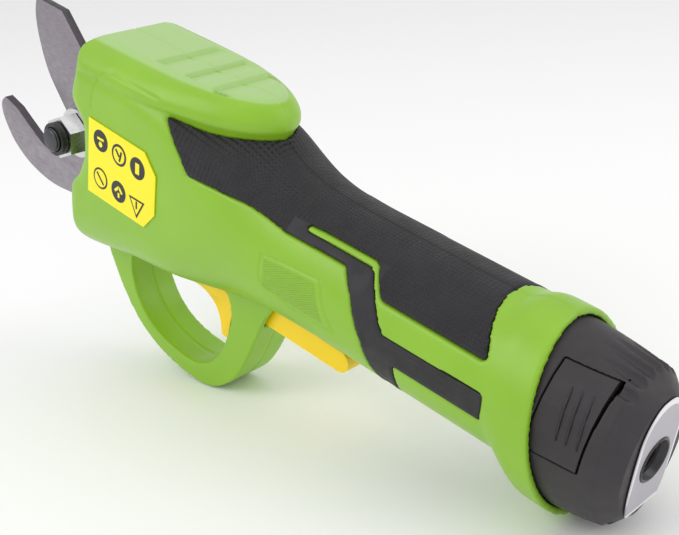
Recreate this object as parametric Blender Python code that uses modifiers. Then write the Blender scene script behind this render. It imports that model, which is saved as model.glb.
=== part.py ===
"""Battery electric pruner: two-shell housing with finger guard, anvil-side hook blade and driven
cutting blade, crown-gear drive, slide trigger and a stick battery with side latches.

Shapes are given in the handle frame, in millimetres: the pivot bolt is on the Y axis, the handle
runs along +X to the battery, and +Z is the top of the head. The empty `stance` tilts that frame so
that the tool stands on its finger guard and its battery collar.
"""

import math

import bmesh
import bpy
from mathutils import Matrix, Vector

# ---------------------------------------------------------------- driving dimensions, millimetres
MM = 0.001
GAP = 0.3
STANCE_TILT = math.radians(14.84)
STANCE_SHIFT = (-84.55, 0.0, 78.7)

HALF_WIDTH = 22.0
HANDLE_RADIUS = 20.8
HANDLE_Z = 3.1
HANDLE_TOP, HANDLE_BOTTOM = HANDLE_Z + HANDLE_RADIUS, HANDLE_Z - HANDLE_RADIUS
GRIP_THICKNESS = 1.2
WALL = 2.6
HEAD_TOP = 43.2
HEAD_SHOULDER = 36.0
HEAD_BOTTOM = -27.0
COLLAR_FRONT = 186.5
COLLAR_REAR = 200.6
BATTERY_REAR = 221.5

RIM_WIDTH, RIM_HEIGHT, RIM_POWER, RIM_LEAN = 22.3, 26.6, 1.06, 0.24

GUARD_HALF_WIDTH = 8.0
BOLT_RADIUS = 4.0
FIXED_BLADE_Y = (-4.6, -1.6)
CUTTING_BLADE_Y = (0.0, 3.0)
SECTOR_RADIUS = 31.6
CROWN_TEETH = 60
CROWN_TOOTH_COUNT = 12
CROWN_INNER, CROWN_OUTER = 28.4, 31.4
CROWN_HEIGHT = 2.0
PINION_TEETH = 9
PINION_PITCH_RADIUS = 4.5
PINION_TIP_RADIUS = 5.2
PINION_ROOT_RADIUS = 3.2
DRIVE_ANGLE = math.radians(15.0)
DRIVE_Y = CUTTING_BLADE_Y[1] + CROWN_HEIGHT + 3.6

TRIGGER_HALF_WIDTH = 5.5
PLUNGER_Z = -12.1
CELL_RADIUS, CELL_LENGTH, CELL_OFFSET = 8.5, 65.0, 8.6
STEM_RADIUS = 17.95
JACK_Z = -0.5
LATCH_X, LATCH_Z = (200.0, 212.5), (-1.0, 20.0)
SCREWS = {
    "housing_screw_1": (31.0, 35.0, 21.0),
    "housing_screw_2": (93.1, 0.6, 20.0),
    "housing_screw_3": (36.0, -13.5, 21.0),
    "housing_screw_4": (45.0, -13.5, 21.0),
    "housing_screw_5": (60.0, -60.5, 6.6),
    "housing_screw_6": (87.3, -40.0, 6.6),
    "housing_screw_7": (108.0, -9.5, 16.5),
}
SIDE_ANGLES = 13


# ---------------------------------------------------------------- scene and materials
def clear_scene():
    for obj in list(bpy.data.objects):
        bpy.data.objects.remove(obj, do_unlink=True)


def new_collection(name):
    collection = bpy.data.collections.new(name)
    bpy.context.scene.collection.children.link(collection)
    return collection


clear_scene()
PRUNER = new_collection("battery_electric_pruner")
CUTTERS = new_collection("cutters")


def empty(name, at=(0.0, 0.0, 0.0), parent=None):
    obj = bpy.data.objects.new(name, None)
    PRUNER.objects.link(obj)
    obj.parent = parent
    obj.location = Vector(at) * MM
    return obj


STANCE = empty("stance", STANCE_SHIFT)
STANCE.rotation_euler = (0.0, STANCE_TILT, 0.0)


def material(name, colour, roughness, metallic=0.0):
    mat = bpy.data.materials.new(name)
    mat.use_nodes = True
    shader = mat.node_tree.nodes["Principled BSDF"]
    shader.inputs["Base Color"].default_value = (*colour, 1.0)
    shader.inputs["Roughness"].default_value = roughness
    shader.inputs["Metallic"].default_value = metallic
    mat.diffuse_color = (*colour, 1.0)
    return mat


GREEN = material("green_housing", (0.25, 0.5, 0.03), 0.45)
RUBBER = material("grip_rubber", (0.03, 0.026, 0.03), 0.8)
YELLOW = material("yellow_trigger", (1.0, 0.6, 0.0), 0.4)
STICKER = material("yellow_sticker", (1.0, 0.93, 0.0), 0.35)
BLACK = material("battery_black", (0.035, 0.03, 0.033), 0.55)
SILVER = material("silver_label", (0.42, 0.4, 0.43), 0.4)
BLADE = material("blade_steel", (0.36, 0.33, 0.35), 0.35, 1.0)
ZINC = material("zinc_plated", (0.72, 0.72, 0.7), 0.3, 1.0)
GEAR = material("gear_steel", (0.4, 0.4, 0.42), 0.35, 1.0)
BRONZE = material("sintered_bronze", (0.5, 0.3, 0.12), 0.4, 1.0)
NYLON = material("black_nylon", (0.02, 0.02, 0.022), 0.5)
BOARD = material("circuit_board", (0.02, 0.16, 0.06), 0.5)
CELL = material("cell_wrap", (0.1, 0.25, 0.55), 0.4)
COPPER = material("contact_brass", (0.7, 0.5, 0.2), 0.3, 1.0)


# ---------------------------------------------------------------- modelling helpers
def add_mesh(name, bm, mat=None, cutter=False):
    """A new object from a bmesh in millimetres, in the handle frame."""
    bmesh.ops.scale(bm, vec=Vector((MM, MM, MM)), verts=bm.verts)
    bmesh.ops.triangulate(bm, faces=bm.faces)
    bmesh.ops.recalc_face_normals(bm, faces=bm.faces)
    mesh = bpy.data.meshes.new(name)
    bm.to_mesh(mesh)
    bm.free()
    obj = bpy.data.objects.new(name, mesh)
    (CUTTERS if cutter else PRUNER).objects.link(obj)
    obj.parent = STANCE
    if cutter:
        obj.hide_render = True
        obj.display_type = "WIRE"
    if mat:
        mesh.materials.append(mat)
    return obj


def box(name, low, high, mat=None, cutter=False):
    bm = bmesh.new()
    bmesh.ops.create_cube(bm, size=1.0)
    size = Vector(high) - Vector(low)
    bmesh.ops.scale(bm, vec=size, verts=bm.verts)
    bmesh.ops.translate(bm, vec=(Vector(high) + Vector(low)) / 2, verts=bm.verts)
    return add_mesh(name, bm, mat, cutter)


def rod(name, radius, start, end, mat=None, cutter=False, sides=20, end_radius=None):
    """A cylinder, cone or (with few sides) prism from one point to another."""
    start, end = Vector(start), Vector(end)
    axis = end - start
    bm = bmesh.new()
    bmesh.ops.create_cone(
        bm,
        cap_ends=True,
        segments=sides,
        radius1=radius,
        radius2=radius if end_radius is None else end_radius,
        depth=axis.length,
    )
    turn = Vector((0, 0, 1)).rotation_difference(axis).to_matrix()
    bmesh.ops.rotate(bm, cent=(0, 0, 0), matrix=turn, verts=bm.verts)
    bmesh.ops.translate(bm, vec=(start + end) / 2, verts=bm.verts)
    return add_mesh(name, bm, mat, cutter)


def plate(name, outline, y_range, mat=None, cutter=False, holes=()):
    """A flat outline in X and Z, with holes, extruded over a range of Y."""
    curve = bpy.data.curves.new(name, "CURVE")
    curve.dimensions = "2D"
    curve.fill_mode = "BOTH"
    curve.extrude = (y_range[1] - y_range[0]) / 2 * MM
    for loop in (outline, *holes):
        spline = curve.splines.new("POLY")
        spline.points.add(len(loop) - 1)
        for point, (x, z) in zip(spline.points, loop):
            point.co = (x * MM, z * MM, 0.0, 1.0)
        spline.use_cyclic_u = True
    guide = bpy.data.objects.new(name + "_outline", curve)
    CUTTERS.objects.link(guide)
    mesh = bpy.data.meshes.new_from_object(guide.evaluated_get(bpy.context.evaluated_depsgraph_get()))
    bpy.data.objects.remove(guide, do_unlink=True)
    bm = bmesh.new()
    bm.from_mesh(mesh)
    bpy.data.meshes.remove(mesh)
    bmesh.ops.remove_doubles(bm, verts=bm.verts, dist=1e-6)
    upright = Matrix.Rotation(math.radians(90), 3, "X")
    bmesh.ops.rotate(bm, cent=(0, 0, 0), matrix=upright, verts=bm.verts)
    bmesh.ops.scale(bm, vec=Vector((1 / MM,) * 3), verts=bm.verts)
    bmesh.ops.translate(bm, vec=(0, sum(y_range) / 2, 0), verts=bm.verts)
    return add_mesh(name, bm, mat, cutter)


def loft(name, rings, mat=None, cutter=False):
    """A closed skin through rings with the same number of points."""
    bm = bmesh.new()
    loops = [[bm.verts.new(point) for point in ring] for ring in rings]
    count = len(rings[0])
    for near, far in zip(loops, loops[1:]):
        for i in range(count):
            j = (i + 1) % count
            bm.faces.new((near[i], near[j], far[j], far[i]))
    bm.faces.new(loops[0])
    bm.faces.new(loops[-1])
    return add_mesh(name, bm, mat, cutter)


def boolean(obj, operation, others):
    for other in others:
        modifier = obj.modifiers.new(other.name[:50], "BOOLEAN")
        modifier.operation = operation
        modifier.solver = "EXACT"
        modifier.object = other
    return obj


def cut(obj, *cutters):
    return boolean(obj, "DIFFERENCE", cutters)


def bake(obj, name=None, mat=None, keep=False):
    """The object with its modifiers applied, as a plain mesh."""
    graph = bpy.context.evaluated_depsgraph_get()
    mesh = bpy.data.meshes.new_from_object(obj.evaluated_get(graph))
    result = bpy.data.objects.new(name or obj.name + "_baked", mesh)
    for collection in obj.users_collection:
        collection.objects.link(result)
    result.parent = obj.parent
    result.location = obj.location
    result.hide_render = obj.hide_render
    result.display_type = obj.display_type
    if mat:
        mesh.materials.clear()
        mesh.materials.append(mat)
    if not keep:
        bpy.data.objects.remove(obj, do_unlink=True)
    return result


def fuse(obj, *others):
    """The union of the objects, baked into the first one."""
    name = obj.name
    boolean(obj, "UNION", others)
    result = bake(obj, name)
    for other in others:
        bpy.data.objects.remove(other, do_unlink=True)
    result.name = name
    return result


def smooth_shade(obj, angle=35.0):
    obj.data.shade_smooth()
    obj.data.set_sharp_from_angle(angle=math.radians(angle))
    return obj


def ride(parent, *objects):
    """Hangs pieces on the empty that stands on their joint's axis."""
    for obj in objects:
        obj.parent = parent
        obj.location = -parent.location


def arc(centre, radius, start, end, count):
    angles = [math.radians(start + (end - start) * i / (count - 1)) for i in range(count)]
    return [(centre[0] + radius * math.cos(a), centre[1] + radius * math.sin(a)) for a in angles]


def spline(points, steps=3):
    """Points of a smooth open curve through the given ones."""
    ends = [points[0], *points, points[-1]]
    result = []
    for a, b, c, d in zip(ends, ends[1:], ends[2:], ends[3:]):
        for k in range(steps):
            t = k / steps
            result.append(tuple(
                0.5 * (2 * q + (r - p) * t + (2 * p - 5 * q + 4 * r - s) * t * t
                       + (3 * q - p - 3 * r + s) * t ** 3)
                for p, q, r, s in zip(a, b, c, d)
            ))
    return [*result, points[-1]]


def along_drive(s, side=0.0, y=0.0):
    """The point s along the inclined drive axis from the pivot, and side above that axis."""
    cos, sin = math.cos(DRIVE_ANGLE), math.sin(DRIVE_ANGLE)
    return (s * cos - side * sin, y, s * sin + side * cos)


# ---------------------------------------------------------------- cross-sections of the body
def round_half(top, bottom, width):
    angles = [math.pi / 2 - math.pi * i / (SIDE_ANGLES - 1) for i in range(SIDE_ANGLES)]
    middle, height = (top + bottom) / 2, (top - bottom) / 2
    return [(width * math.cos(a), middle + height * math.sin(a)) for a in angles]


def head_half(top, bottom, width):
    """Flat sides, a rounded shoulder under the raised top and a rounded belly."""
    return [
        (0.0, top), (0.45 * width, top), (0.74 * width, top - 0.4), (0.92 * width, top - 1.6),
        (0.99 * width, top - 4.0), (width, top - 8.0), (width, (top + bottom) / 2),
        (width, bottom + 20.0), (0.96 * width, bottom + 13.5), (0.84 * width, bottom + 7.5),
        (0.64 * width, bottom + 3.2), (0.38 * width, bottom + 0.6), (0.0, bottom),
    ]


def rim_half():
    """The collar's section, a little squarer than an ellipse is round, and tall."""
    angles = [math.pi / 2 - math.pi * i / (SIDE_ANGLES - 1) for i in range(SIDE_ANGLES)]
    return [
        (RIM_WIDTH * abs(math.cos(a)) ** RIM_POWER,
         math.copysign(RIM_HEIGHT * abs(math.sin(a)) ** RIM_POWER, math.sin(a)))
        for a in angles
    ]


def mixed(first, second, share):
    return [(a[0] + (b[0] - a[0]) * share, a[1] + (b[1] - a[1]) * share) for a, b in zip(first, second)]


def ring(x, half, inset=0.0, lean=0.0):
    """A closed ring at x from a half section, drawn in by the inset, its top leaning forward."""
    width = max(y for y, _ in half)
    top, bottom = half[0][1], half[-1][1]
    middle, height = (top + bottom) / 2, (top - bottom) / 2
    near = [
        (y * (width - inset) / width, middle + (z - middle) * (height - inset) / height)
        for y, z in half
    ]
    return [(x - lean * z, -y, z) for y, z in near] + [(x - lean * z, y, z) for y, z in near[-2:0:-1]]


def body_half(x):
    """The half section of the head, neck and handle at x."""
    stations = [
        (20.0, HEAD_SHOULDER, -33.0, 0.0), (45.0, HEAD_SHOULDER, -28.0, 0.0),
        (58.0, HEAD_SHOULDER, HEAD_BOTTOM, 0.1), (66.0, 36.0, -26.0, 0.3), (76.0, 36.0, -24.5, 0.7),
        (88.0, 35.4, -22.0, 1.0), (96.0, 30.4, -20.2, 1.0), (103.0, 26.8, -19.0, 1.0),
        (112.0, 24.7, -18.2, 1.0), (124.0, HANDLE_TOP, HANDLE_BOTTOM, 1.0),
        (300.0, HANDLE_TOP, HANDLE_BOTTOM, 1.0),
    ]
    if x <= stations[0][0]:
        return head_half(HEAD_SHOULDER, stations[0][2], HALF_WIDTH)
    for low, high in zip(stations, stations[1:]):
        if x <= high[0]:
            break
    t = (x - low[0]) / (high[0] - low[0])
    top, bottom, share = (low[i] + (high[i] - low[i]) * t for i in (1, 2, 3))
    round_width = HALF_WIDTH + (HANDLE_RADIUS - HALF_WIDTH) * min(1.0, max(0.0, (x - 76.0) / 36.0))
    return mixed(head_half(top, bottom, HALF_WIDTH), round_half(top, bottom, round_width), share)


def body_skin(name, inset, start, end, mat=None):
    """The head, neck and handle as one solid between two stations, drawn in by the inset."""
    stations = [start, 45.0, 58.0, 66.0, 76.0, 82.0, 88.0, 92.0, 96.0, 103.0, 112.0, 124.0, end]
    rings = [ring(x, body_half(x), inset) for x in sorted(set(stations)) if start <= x <= end]
    return loft(name, rings, mat, cutter=mat is None)


TOP_BASE = [(10.0, 22.1), (40.0, 21.9), (59.0, 20.4), (70.0, 18.0), (80.0, 14.8), (88.0, 10.4), (92.6, 5.4),
            (94.5, 0.0)]
TOP_PAD = [(10.0, 12.0), (40.0, 12.0), (59.0, 12.0), (66.0, 11.6), (74.0, 10.2), (81.0, 7.9), (87.0, 4.2),
           (89.5, 0.0)]


def raised_top(name, inset, mat=None):
    """The raised block on the head, from inside the body up to its flat pad, drawn in by the inset."""
    levels = [(24.0, 4.5, 0.0), (31.0, 2.5, 0.0), (34.8, 0.0, 0.0), (37.5, 0.0, 0.06), (40.6, 0.0, 0.4),
              (HEAD_TOP - 0.7, 0.0, 0.86), (HEAD_TOP, 0.0, 1.0)]
    rings = []
    for z, side, share in levels:
        near = []
        lift = inset if inset < 0 and z < HEAD_SHOULDER - 2 else -inset
        for x, y in mixed(TOP_BASE, TOP_PAD, share):
            drawn_in = (inset + side) * min(1.0, max(0.0, (x - 40.0) / 50.0))
            near.append((x - drawn_in, max(0.0, y - inset - side), z + lift))
        rings.append([(x, -y, z) for x, y, z in near] + [(x, y, z) for x, y, z in near[-2::-1]])
    return loft(name, rings, mat, cutter=mat is None)


# ---------------------------------------------------------------- outlines seen from the side
FRONT_EDGE_RADIUS = 6.0
FRONT_PROFILE = [
    (130.0, 60.0), (28.0, 60.0), (25.5, 44.0), (22.0, 42.2), (20.4, 38.5), (19.0, 32.0), (17.0, 25.0),
    (18.3, 21.8), (21.0, 19.4), (23.0, 15.6), (23.3, 7.2), (22.1, 2.6), (19.5, -2.9), (16.3, -6.4),
    (15.6, -9.5), (15.6, -15.0), (16.2, -21.0), (18.0, -27.0), (21.5, -32.0), (28.0, -40.0),
    (130.0, -40.0),
]
GUARD_OUTER = spline([
    (18.5, -18.0), (19.5, -31.0), (24.5, -40.5), (31.0, -49.0), (39.0, -56.0), (49.0, -60.6),
    (60.0, -62.6), (71.0, -62.6), (79.0, -59.4), (86.0, -52.5), (91.0, -43.0), (94.5, -33.0),
    (99.0, -22.0), (106.0, -12.0),
], 2)
LOOP = spline([
    (42.0, -24.5), (35.0, -28.5), (33.2, -36.0), (36.0, -44.5), (41.5, -51.0), (49.0, -55.0),
    (58.0, -56.6), (67.0, -56.2), (74.0, -52.5), (79.3, -45.5), (82.2, -37.0), (83.2, -29.0),
    (80.0, -22.5), (70.0, -21.0), (55.0, -22.0),
], 2)
TRIGGER_OUTLINE = [
    (39.0, -21.0), (39.0, -30.5), *spline([(43.0, -31.2), (50.0, -30.0), (58.0, -28.8), (66.0, -28.4),
                                           (72.0, -30.6), (75.5, -35.0), (77.0, -41.0)], 2),
    (79.6, -41.0), (80.6, -34.0), (82.0, -27.0), (127.0, -27.0), *arc((127.0, -23.4), 3.6, -70, 70, 6),
    (84.0, -19.8), (79.0, -17.0), (60.0, -17.0), (60.0, -8.0), (55.0, -8.0), (55.0, -17.0), (50.0, -21.0),
]
CUTTING_OUTLINE = [
    *spline([(-31.3, 37.3), (-32.1, 31.0), (-30.2, 22.7), (-25.7, 13.0), (-19.6, 6.0), (-13.0, -0.5), (-8.6, -5.0)], 2),
    *arc((0.0, 0.0), 9.6, 215, 280, 5), (9.0, -15.0),
    *arc((0.0, 0.0), SECTOR_RADIUS, -52, 22, 14),
    (17.0, 13.5), (4.0, 18.5), (-4.9, 26.4), (-16.4, 36.8),
]
FIXED_OUTLINE = [
    *spline([(-46.6, -3.6), (-48.9, -6.0), (-49.1, -9.2), (-46.9, -13.6), (-41.2, -19.6), (-31.5, -24.4),
             (-18.8, -26.6), (-6.5, -25.6), (8.0, -23.5), (18.0, -21.5)], 2),
    (26.0, -19.0), (49.0, -19.0), (49.0, -8.2), (26.0, -6.5), (14.0, 5.0),
    *arc((0.0, 0.0), 9.8, 40, 210, 9),
    *spline([(-12.0, -11.5), (-18.2, -13.9), (-23.4, -13.2), (-31.1, -9.6), (-39.1, -5.4)], 2),
]
GRIP_OUTLINE = [
    (62.2, 34.5), (62.2, 34.0), (75.8, 19.4), (98.0, 18.4), (113.0, 15.8), (134.6, 15.8), (139.6, 10.6),
    (145.8, 0.1), (148.5, -8.7), (150.0, -22.0), (186.5, -22.0), (186.5, -13.0), (156.4, -12.6),
    (157.2, -6.5), (157.0, -1.6), (185.8, -1.4), (186.5, -0.4), (186.4, 4.9), (185.4, 5.9), (153.0, 5.6),
    (150.9, 7.5), (146.4, 13.5), (142.8, 17.4), (141.2, 17.9), (118.3, 18.0), (117.0, 18.7),
    (117.6, 19.4), (141.4, 19.5), (143.2, 19.0), (148.7, 13.5), (149.9, 13.1), (181.8, 13.1),
    (182.7, 13.8), (181.5, 16.0), (178.5, 20.2), (176.8, 22.4), (175.0, 25.0), (175.0, 30.0),
    (97.0, 34.5),
]


# ---------------------------------------------------------------- housing and grip
def grown(outline, amount):
    """The outline moved outwards by the amount, corner by corner."""
    area = sum(a[0] * b[1] - b[0] * a[1] for a, b in zip(outline, outline[1:] + outline[:1]))
    sign = 1.0 if area > 0 else -1.0
    result = []
    for before, here, after in zip([outline[-1], *outline], outline, outline[1:] + outline[:1]):
        first = (Vector(here) - Vector(before)).normalized()
        second = (Vector(after) - Vector(here)).normalized()
        normal = Vector((first.y + second.y, -first.x - second.x)).normalized() * sign
        spread = max(0.5, normal.dot(Vector((first.y, -first.x)) * sign))
        result.append(tuple(Vector(here) + normal * amount / spread))
    return result


def grip_zone(name, clearance):
    """The layer of the handle that the rubber fills, with the clearance around it."""
    zone = body_skin(name, 0.02 - 0.4 * clearance, 58.0, COLLAR_FRONT - 1.0)
    core = body_skin(name + "_core", GRIP_THICKNESS + clearance, 57.0, COLLAR_FRONT)
    region = plate(name + "_region", grown(GRIP_OUTLINE, clearance), (-30, 30), cutter=True)
    roof = raised_top(name + "_roof", clearance - GAP - 0.05)
    rib = 4.0 + GAP - clearance
    rear_channel = box(name + "_channel", (145, -rib, -30), (190, rib, -8), cutter=True)
    boolean(zone, "INTERSECT", [region])
    cut(zone, core, rear_channel, roof)
    zone = bake(zone, name)
    for helper in (core, region, roof, rear_channel):
        bpy.data.objects.remove(helper, do_unlink=True)
    return zone


def front_cutter():
    """The head's front seen from the side, with its upright edges rounded off."""
    rings = []
    for y in (-24.0, -22.0, -21.5, -20.3, -18.5, -16.0, 16.0, 18.5, 20.3, 21.5, 22.0, 24.0):
        share = min(1.0, max(0.0, (abs(y) - HALF_WIDTH + FRONT_EDGE_RADIUS) / FRONT_EDGE_RADIUS))
        shift = FRONT_EDGE_RADIUS * (1 - math.sqrt(1 - share * share))
        rings.append([(x + shift, y, z) for x, z in FRONT_PROFILE])
    return loft("front_profile", rings, cutter=True)


def build_shell():
    """The whole green shell, before it is split at the middle."""
    shell = body_skin("shell", 0.0, 10.0, COLLAR_FRONT, GREEN)
    collar_rings = [
        ring(COLLAR_FRONT - 5.0, body_half(180.0), 0.4, RIM_LEAN),
        ring(COLLAR_FRONT, body_half(180.0), 0.0, RIM_LEAN),
        ring(189.0, mixed(body_half(180.0), rim_half(), 0.5), 0.0, RIM_LEAN),
        ring(192.6, mixed(body_half(180.0), rim_half(), 0.96), 0.0, RIM_LEAN),
        ring(COLLAR_REAR, rim_half(), 0.0, RIM_LEAN),
    ]
    top = raised_top("top_block", 0.0)
    shell = fuse(shell, top)
    nose = box("nose_region", (-10, -40, -80), (118, 40, 80), cutter=True)
    tail = box("tail_region", (118, -40, -80), (300, 40, 80), cutter=True)
    head = bake(boolean(shell, "INTERSECT", [nose]), "head", keep=True)
    shell.modifiers.clear()
    rest = bake(boolean(shell, "INTERSECT", [tail]), "rest")
    profile = front_cutter()
    head = bake(boolean(head, "INTERSECT", [profile]), "head_cut")
    guard = plate("guard", GUARD_OUTER, (-GUARD_HALF_WIDTH, GUARD_HALF_WIDTH), GREEN, holes=[LOOP])
    guard_edges = guard.modifiers.new("rounded edges", "BEVEL")
    guard_edges.width = 2.6 * MM
    guard_edges.segments = 2
    guard_edges.angle_limit = math.radians(50)
    guard = bake(guard, "guard_round")
    collar = loft("collar", collar_rings, GREEN)
    shell = fuse(head, rest, guard, collar)
    for helper in (nose, tail, profile):
        bpy.data.objects.remove(helper, do_unlink=True)
    shell.name = "shell"
    return shell


def hollow_shell(shell):
    """Cavity, blade slot, trigger slot, grip recess and battery opening."""
    cavity = body_skin("cavity", WALL, 26.0, COLLAR_FRONT + 1.0)
    attic = raised_top("attic", WALL)
    attic_front = box("attic_front", (26.0, -30, 20), (120, 30, 60), cutter=True)
    boolean(attic, "INTERSECT", [attic_front])
    collar_cavity = loft("collar_cavity", [
        ring(COLLAR_FRONT - 5.0, body_half(180.0), WALL),
        ring(190.0, mixed(body_half(180.0), rim_half(), 0.45), WALL - 0.3, RIM_LEAN),
        ring(194.5, rim_half(), 2.0, RIM_LEAN), ring(COLLAR_REAR + 1.0, rim_half(), 2.0, RIM_LEAN),
    ], cutter=True)
    slot = plate(
        "blade_slot",
        [(8.0, 30.0), (34.0, 30.0), (34.0, -22.0), (25.0, -24.0), (20.0, -28.0), (8.0, -32.0)],
        (-5.2, 5.8), cutter=True,
    )
    trigger_slot = box("trigger_slot", (36.5, -6.1, -43.5), (86.8, 6.1, -13.0), cutter=True)
    bar_slot = box("bar_slot", (84.0, -6.1, -28.0), (138.5, 6.1, -15.2), cutter=True)
    zone = grip_zone("grip_recess", GAP)
    return cut(shell, cavity, attic, collar_cavity, slot, trigger_slot, bar_slot, zone)


def add_bosses(half, side, name):
    """Screw towers from the wall to the middle, with their screw holes."""
    for screw, (x, z, reach) in SCREWS.items():
        hole_end = -5.5 if screw in ("housing_screw_5", "housing_screw_6") else -14.0
        if abs(reach) > 10:
            inner = 5.6 if (side > 0 and screw in ("housing_screw_3", "housing_screw_4")) else GAP / 2
            inner = 4.9 if (side < 0 and screw in ("housing_screw_3", "housing_screw_4")) else inner
            tower = rod(f"{name}_tower_{screw[-1]}", 3.5, (x, side * inner, z), (x, side * reach, z),
                        GREEN, sides=12)
            half = fuse(half, tower)
        hole = rod(f"{name}_hole_{screw[-1]}", 1.75, (x, hole_end, z), (x, 30, z), cutter=True, sides=12)
        if side > 0:
            seat = 5.0 if abs(reach) < 10 else min(reach, 19.0) - 1.5
            sink = rod(f"{name}_sink_{screw[-1]}", 3.2, (x, seat, z), (x, 31, z), cutter=True, sides=16)
            hole = fuse(hole, sink)
        half = bake(cut(half, hole), name)
        half.name = name
    return half


def build_housing():
    shell = bake(hollow_shell(build_shell()), "hollow_shell", GREEN)
    for side, name in ((-1, "housing_left"), (1, "housing_right")):
        y_range = sorted((side * GAP / 2, side * 40.0))
        keep = box(name + "_side", (-20, y_range[0], -90), (240, y_range[1], 90), cutter=True)
        half = bake(boolean(shell, "INTERSECT", [keep]), name, keep=True)
        shell.modifiers.clear()
        bpy.data.objects.remove(keep, do_unlink=True)
        half = add_bosses(half, side, name)
        half.name = name
        smooth_shade(half)
    bpy.data.objects.remove(shell, do_unlink=True)


def build_grip():
    layer = grip_zone("grip_layer", 0.01)
    for side, name in ((-1, "grip_left"), (1, "grip_right")):
        y_range = sorted((side * GAP / 2, side * 40.0))
        keep = box(name + "_side", (40, y_range[0], -60), (240, y_range[1], 60), cutter=True)
        half = bake(boolean(layer, "INTERSECT", [keep]), name, RUBBER, keep=True)
        layer.modifiers.clear()
        half.hide_render = False
        half.display_type = "TEXTURED"
        PRUNER.objects.link(half)
        CUTTERS.objects.unlink(half)
        smooth_shade(half)
        bpy.data.objects.remove(keep, do_unlink=True)
    bpy.data.objects.remove(layer, do_unlink=True)


def build_labels():
    outline = [(30.3, 21.1), (57.7, 19.9), (63.0, 14.0), (62.7, 0.9), (57.7, -5.1), (29.4, -4.3)]
    for side, name in ((-1, "side_label_left"), (1, "side_label_right")):
        y_range = sorted((side * (HALF_WIDTH + GAP), side * (HALF_WIDTH + GAP + 0.4)))
        plate(name, outline, y_range, STICKER)


# ---------------------------------------------------------------- blades and pivot
def ring_of(name, inner, outer, y_range, mat, sides=24):
    piece = rod(name, outer, (0, y_range[0], 0), (0, y_range[1], 0), mat, sides=sides)
    hole = rod(name + "_hole", inner, (0, -40, 0), (0, 40, 0), cutter=True, sides=20)
    piece = bake(cut(piece, hole), name)
    bpy.data.objects.remove(hole, do_unlink=True)
    piece.name = name
    return smooth_shade(piece)


def build_blades(blade_axis):
    screw_holes = [arc(SCREWS[s][:2], 2.1, 0, 330, 12) for s in ("housing_screw_3", "housing_screw_4")]
    plate("fixed_blade", FIXED_OUTLINE, FIXED_BLADE_Y, BLADE,
          holes=[arc((0, 0), BOLT_RADIUS + 0.3, 0, 342, 20), *screw_holes])
    cutting = plate("cutting_blade", CUTTING_OUTLINE, CUTTING_BLADE_Y, BLADE,
                    holes=[arc((0, 0), 6.3, 0, 342, 20)])
    pitch = 2 * math.pi / CROWN_TEETH
    teeth = []
    for i in range(CROWN_TOOTH_COUNT):
        angle = DRIVE_ANGLE + (0.5 - i) * pitch
        along = Vector((math.cos(angle), 0, math.sin(angle)))
        across = Vector((-math.sin(angle), 0, math.cos(angle)))
        base, tip = CUTTING_BLADE_Y[1] - 0.4, CUTTING_BLADE_Y[1] + CROWN_HEIGHT
        rings = []
        for y, half in ((base, 0.62), (tip, 0.36)):
            rings.append([tuple(along * r + across * s * half + Vector((0, y, 0)))
                          for r, s in ((CROWN_INNER, -1), (CROWN_OUTER, -1), (CROWN_OUTER, 1), (CROWN_INNER, 1))])
        teeth.append(loft(f"crown_tooth_{i}", rings, BLADE))
    cutting = fuse(cutting, *teeth)
    bush = ring_of("blade_bush", BOLT_RADIUS + 0.15, 6.0, (-0.2, 3.15), BRONZE)
    ride(blade_axis, cutting, bush)


def build_pivot():
    bolt = rod("pivot_bolt", BOLT_RADIUS, (0, -17.0, 0), (0, 5.4, 0), ZINC)
    head = rod("pivot_bolt_head", 7.5, (0, 5.0, 0), (0, 10.3, 0), ZINC, sides=6)
    smooth_shade(fuse(bolt, head))
    ring_of("pivot_nut", BOLT_RADIUS + 0.3, 7.5, (-13.0, -6.6), ZINC, sides=6)
    ring_of("nut_insert", BOLT_RADIUS + 0.3, 5.6, (-15.4, -13.3), NYLON)
    ring_of("pivot_washer", BOLT_RADIUS + 0.3, 8.5, (-6.3, -4.9), ZINC)
    ring_of("spacer_washer", BOLT_RADIUS + 0.3, 8.0, (-1.3, -0.5), BRONZE)
    ring_of("head_washer", BOLT_RADIUS + 0.3, 8.0, (3.5, 4.7), ZINC)


# ---------------------------------------------------------------- drive train
def build_pinion(pinion_axis):
    """Slender teeth on a hub and shaft along the drive axis, one gap facing the crown teeth."""
    hub = rod("drive_pinion", PINION_ROOT_RADIUS, along_drive(CROWN_INNER, 0, DRIVE_Y),
              along_drive(CROWN_OUTER + 1.2, 0, DRIVE_Y), GEAR, sides=27)
    pieces = [rod("pinion_shaft", 2.5, along_drive(32.0, 0, DRIVE_Y), along_drive(40.0, 0, DRIVE_Y), GEAR)]
    for i in range(PINION_TEETH):
        turn = 2 * math.pi * i / PINION_TEETH
        radial = Vector((0, -math.cos(turn), 0)) + Vector(along_drive(0, math.sin(turn)))
        across = Vector((0, math.sin(turn), 0)) + Vector(along_drive(0, math.cos(turn)))
        rings = []
        for s in (CROWN_INNER + 0.2, CROWN_OUTER):
            centre = Vector(along_drive(s, 0, DRIVE_Y))
            rings.append([tuple(centre + radial * r + across * t) for r, t in (
                (PINION_ROOT_RADIUS - 0.4, -0.62), (PINION_TIP_RADIUS, -0.34),
                (PINION_TIP_RADIUS, 0.34), (PINION_ROOT_RADIUS - 0.4, 0.62))])
        pieces.append(loft(f"pinion_tooth_{i}", rings, GEAR))
    ride(pinion_axis, fuse(hub, *pieces))


def drive_block(name, s_range, side_range, y_range, mat, cutter=False):
    rings = []
    for s in s_range:
        rings.append([along_drive(s, side, y) for side, y in (
            (side_range[0], y_range[0]), (side_range[1], y_range[0]),
            (side_range[1], y_range[1]), (side_range[0], y_range[1]))])
    return loft(name, rings, mat, cutter)


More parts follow.
